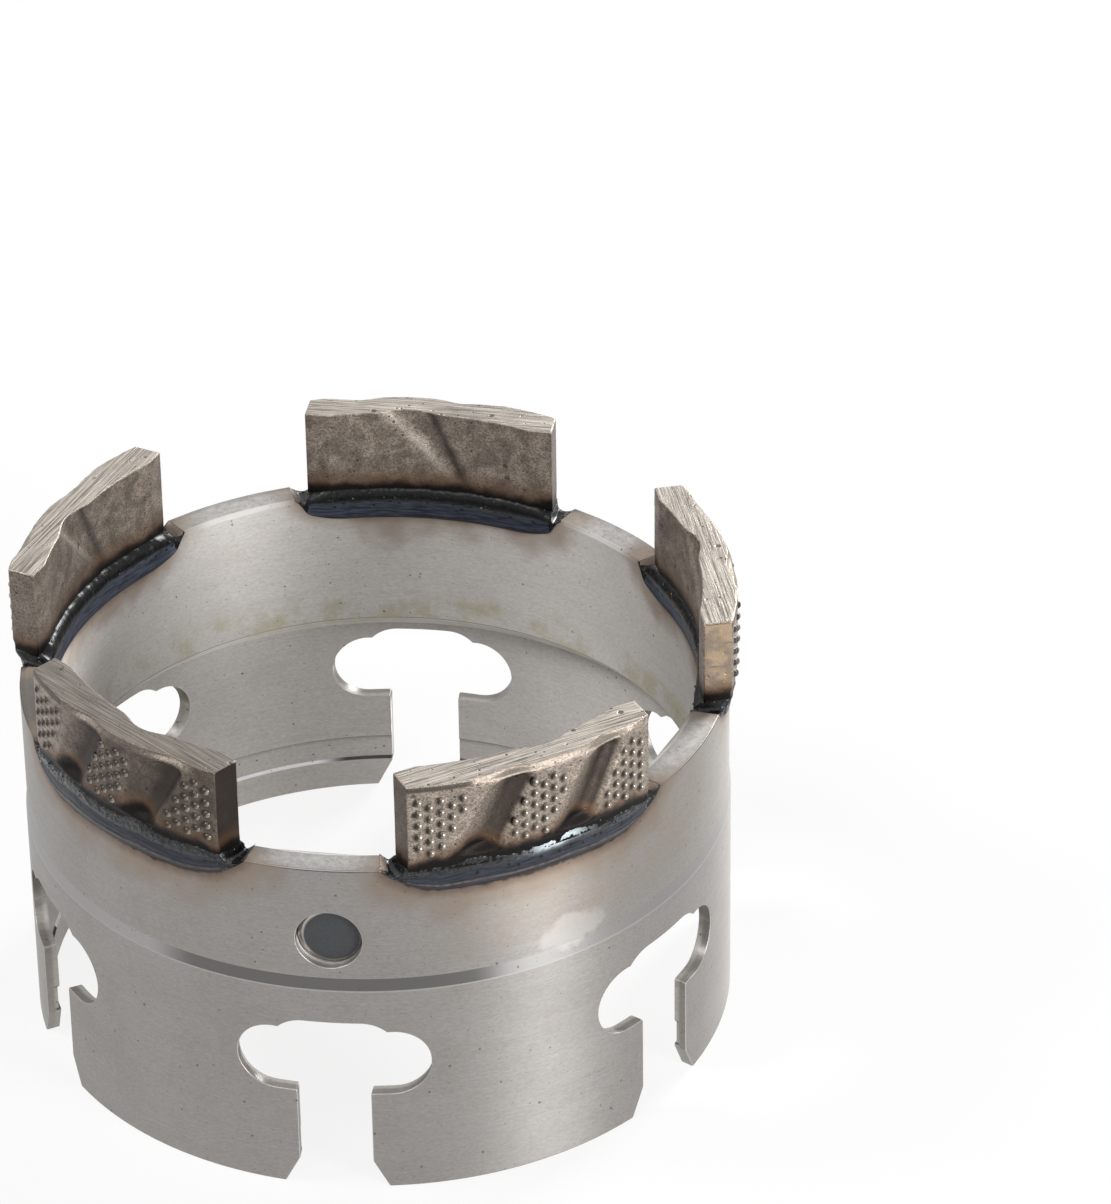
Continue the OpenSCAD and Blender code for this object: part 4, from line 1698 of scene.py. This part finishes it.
# %% [markdown]
# ## Beads of slag
# Small glassy beads sit on the rough upper half of every seam and on its free ends. They are scattered by
# Geometry Nodes: points are strewn over the faces where the seam is rough, and each gets a bead of its own
# size.

# %% Bead tree
BEADS_PER_SQUARE_METRE = 9e5
BEAD_SMALLEST, BEAD_LARGEST = 0.05, 0.2


def make_bead_tree():
    tree, given, result = open_tree("slag_beads", [
        ("Per Square Metre", "Float", BEADS_PER_SQUARE_METRE), ("Smallest", "Float", BEAD_SMALLEST * MM),
        ("Largest", "Float", BEAD_LARGEST * MM),
    ])
    rise, free, inside = (named(tree, name) for name in ("rise", "free_end", "inside"))
    rough_part = rise.spread(0.55, 0.75) * free.math("MULTIPLY_ADD", 1.5, 1.0)
    density = rough_part * inside.math("MULTIPLY_ADD", -0.6, 1.0) * given["Per Square Metre"]
    strewn = add(tree, "GeometryNodeDistributePointsOnFaces", {
        "Mesh": given["Geometry"], "Density": density, "Seed": given["Seed"],
    })
    chance = add(tree, "FunctionNodeRandomValue", {"Seed": given["Seed"]}, data_type="FLOAT")[1]
    size = chance.math("POWER", 3.0).spread(0.0, 1.0, given["Smallest"], given["Largest"])
    place_shapes(tree, given, result, Points=strewn["Points"], Rotation=strewn["Rotation"], Scale=size)
    return tree


# %% Scatter the beads
def make_bead_shape():
    """A flattened ball that stands a little above its point."""
    ball = bmesh.new()
    bmesh.ops.create_icosphere(ball, subdivisions=1, radius=1.0)
    for corner in ball.verts:
        corner.co.z = corner.co.z * 0.75 + 0.2
    shape = new_piece("bead_shape", [], [])
    ball.to_mesh(shape.data)
    ball.free()
    return shape


def make_glass():
    material, tree, shader = new_material("slag_glass")
    cloud = place_mm(tree).noise(0.8, 2.0)
    colour = cloud.spread(0.35, 0.7).blend((0.006, 0.007, 0.009), (0.05, 0.055, 0.06))
    connect(shader, Base_Color=colour, Roughness=cloud.spread(0.3, 0.7, 0.08, 0.25), Coat_Weight=0.3)
    return material


def add_beads():
    shape, tree, glass = make_bead_shape(), make_bead_tree(), make_glass()
    for number, seam in enumerate(seams):
        piece = bpy.data.objects.new(f"slag_beads_{number + 1}", seam.data.copy())
        bpy.context.scene.collection.objects.link(piece)
        apply_tree(piece, tree, Shape=shape, Seed=number + 3, Material=glass)
        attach(piece, "root")
        print(piece.name, "has", len(piece.data.polygons), "faces")
    bpy.data.objects.remove(shape)


add_beads()

# %% [markdown]
# ## Locating pin
# A short pin fills the round hole above the front slot. Its dark face lies about a millimetre below the
# wall, and its rounded edge is wider on the left, where it has been rubbed bright. Its profile is turned
# about the hole's axis, and the rings of the rounded edge slide a little to the right towards the face.

# %% Profile of the pin
PIN_SINK = 1.0                                 # how far the face lies below the wall
PIN_ROUND = 0.72
PIN_SKEW = (0.34, 0.06)                        # how far the face has slid, sideways and up
PIN_AROUND = 72


def pin_profile():
    """Radius and distance from the crown's axis, for the pin's back and for its rounded edge and face."""
    back, front, wide = core_r + 0.5, band_r - PIN_SINK, pin_r - 0.02
    rear = [(0.02, back), (1.5, back), (pin_r - 0.4, back), (pin_r - 0.12, back + 0.1), (wide, back + 0.4)]
    face = []
    for a in np.radians(range(0, 91, 10)):
        face.append((wide - PIN_ROUND * (1 - math.cos(a)), front - PIN_ROUND * (1 - math.sin(a))))
    return rear, face + [(2.4, front + 0.01), (1.2, front + 0.02), (0.02, front + 0.02)]


# %% Make the pin
def make_pin():
    rear, face = pin_profile()
    turns = [2 * math.pi * n / PIN_AROUND for n in range(PIN_AROUND)]
    points, shares = [], []
    for k, (radius, reach) in enumerate(rear + face):
        slid = min(max((pin_r - radius) / PIN_ROUND, 0), 1) if k >= len(rear) else 0
        for a in turns:
            side = radius * math.cos(a) + PIN_SKEW[0] * slid
            up = pin_z + radius * math.sin(a) + PIN_SKEW[1] * slid
            points.append(Vector((side, -reach, up)) * MM)
        shares += [slid if k >= len(rear) else 1.0] * PIN_AROUND
    faces, first, last = tube_faces(len(rear + face), PIN_AROUND)
    piece = new_piece("dark_pin", points, faces + [first[::-1], last])
    set_values(piece.data, to_face=shares)
    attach(piece, "root")
    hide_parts("locating_pin")
    return piece


def make_pin_material():
    """Black on the face, and bare metal on the rounded edge."""
    material, tree, shader = new_material("pin_black")
    dark = attribute(tree, "to_face").spread(0.72, 0.98)
    grain = place_mm(tree).noise(0.35, 3.0, 0.6)
    face = grain.blend((0.022, 0.023, 0.026), (0.052, 0.054, 0.06))
    connect(shader, Base_Color=dark.blend((0.42, 0.39, 0.36), face), Metallic=1.0 - dark,
            Roughness=dark.spread(0.0, 1.0, 0.22, 0.55), Normal=bump(grain, 0.25, 0.03))
    return material


pin = make_pin()
pin.data.materials.append(make_pin_material())
print("pin faces:", len(pin.data.polygons), "open edges:", open_edges(pin))

# %% [markdown]
# ## Floor and light
# The photograph shows the crown on plain white, lit softly from all sides, so the floor is pale and wide. The
# world is white wherever the camera or a reflection looks, and gives only a small part of the light on the
# object. Five soft lamps add the rest.

# %% Floor and world
FLOOR_WHITE = 0.85                             # how far the floor is plain white to the camera
FLOOR_HALF = 3.0                               # half the floor's width, in metres
WORLD_LIGHT = 0.08
WHITE = (1, 1, 1)


def background_rays(tree):
    """1 for the rays that may see the plain white background: camera, glossy and transmission rays."""
    rays = add(tree, "ShaderNodeLightPath")
    seen = rays["Is Camera Ray"].math("MAXIMUM", rays["Is Glossy Ray"])
    return seen.math("MAXIMUM", rays["Is Transmission Ray"])


def make_floor():
    corners = [(x * FLOOR_HALF, y * FLOOR_HALF, 0) for x, y in ((-1, -1), (1, -1), (1, 1), (-1, 1))]
    floor = new_piece("floor", corners, [(0, 1, 2, 3)])
    material, tree, shader = new_material("pale_floor")
    connect(shader, Base_Color=(0.9, 0.9, 0.9), Roughness=0.9, Specular_IOR_Level=0.1)
    white = add(tree, "ShaderNodeEmission", {"Color": WHITE, "Strength": 1.0})
    share = background_rays(tree) * FLOOR_WHITE
    mixed = add(tree, "ShaderNodeMixShader", {0: share, 1: Value(shader), 2: white})
    connect(tree.nodes["Material Output"], Surface=mixed)
    floor.data.materials.append(material)


def make_world():
    world = bpy.data.worlds.new("studio")
    world.use_nodes = True
    tree = world.node_tree
    level = background_rays(tree) * (1.0 - WORLD_LIGHT) + WORLD_LIGHT
    connect(tree.nodes["Background"], Color=WHITE, Strength=level)
    bpy.context.scene.world = world


# %% Lamps
LAMP_DISTANCE, LAMP_SIZE = 1.3, 0.5            # metres
LAMPS = (                                      # name, azimuth, height angle, watts
    ("key_lamp", -33, 12, 10), ("front_lamp", -38, 25, 4.5), ("upper_lamp", -110, 60, 3),
    ("left_lamp", 190, 50, 6.5), ("right_lamp", 60, 25, 15),
)


def soft_lamp(name, azimuth, rise, power):
    """A round lamp that shines at the crown from a direction."""
    data = bpy.data.lights.new(name, "AREA")
    data.shape = "DISK"
    data.size = LAMP_SIZE
    data.energy = power
    lamp = bpy.data.objects.new(name, data)
    spot = direction(azimuth, rise) * LAMP_DISTANCE
    lamp.location = spot
    lamp.rotation_euler = spot.to_track_quat("Z", "Y").to_euler()
    bpy.context.scene.collection.objects.link(lamp)


make_floor()
make_world()
for lamp in LAMPS:
    soft_lamp(*lamp)
bpy.context.scene.view_settings.view_transform = "Standard"
print("lamps:", [name for name, *_ in LAMPS])
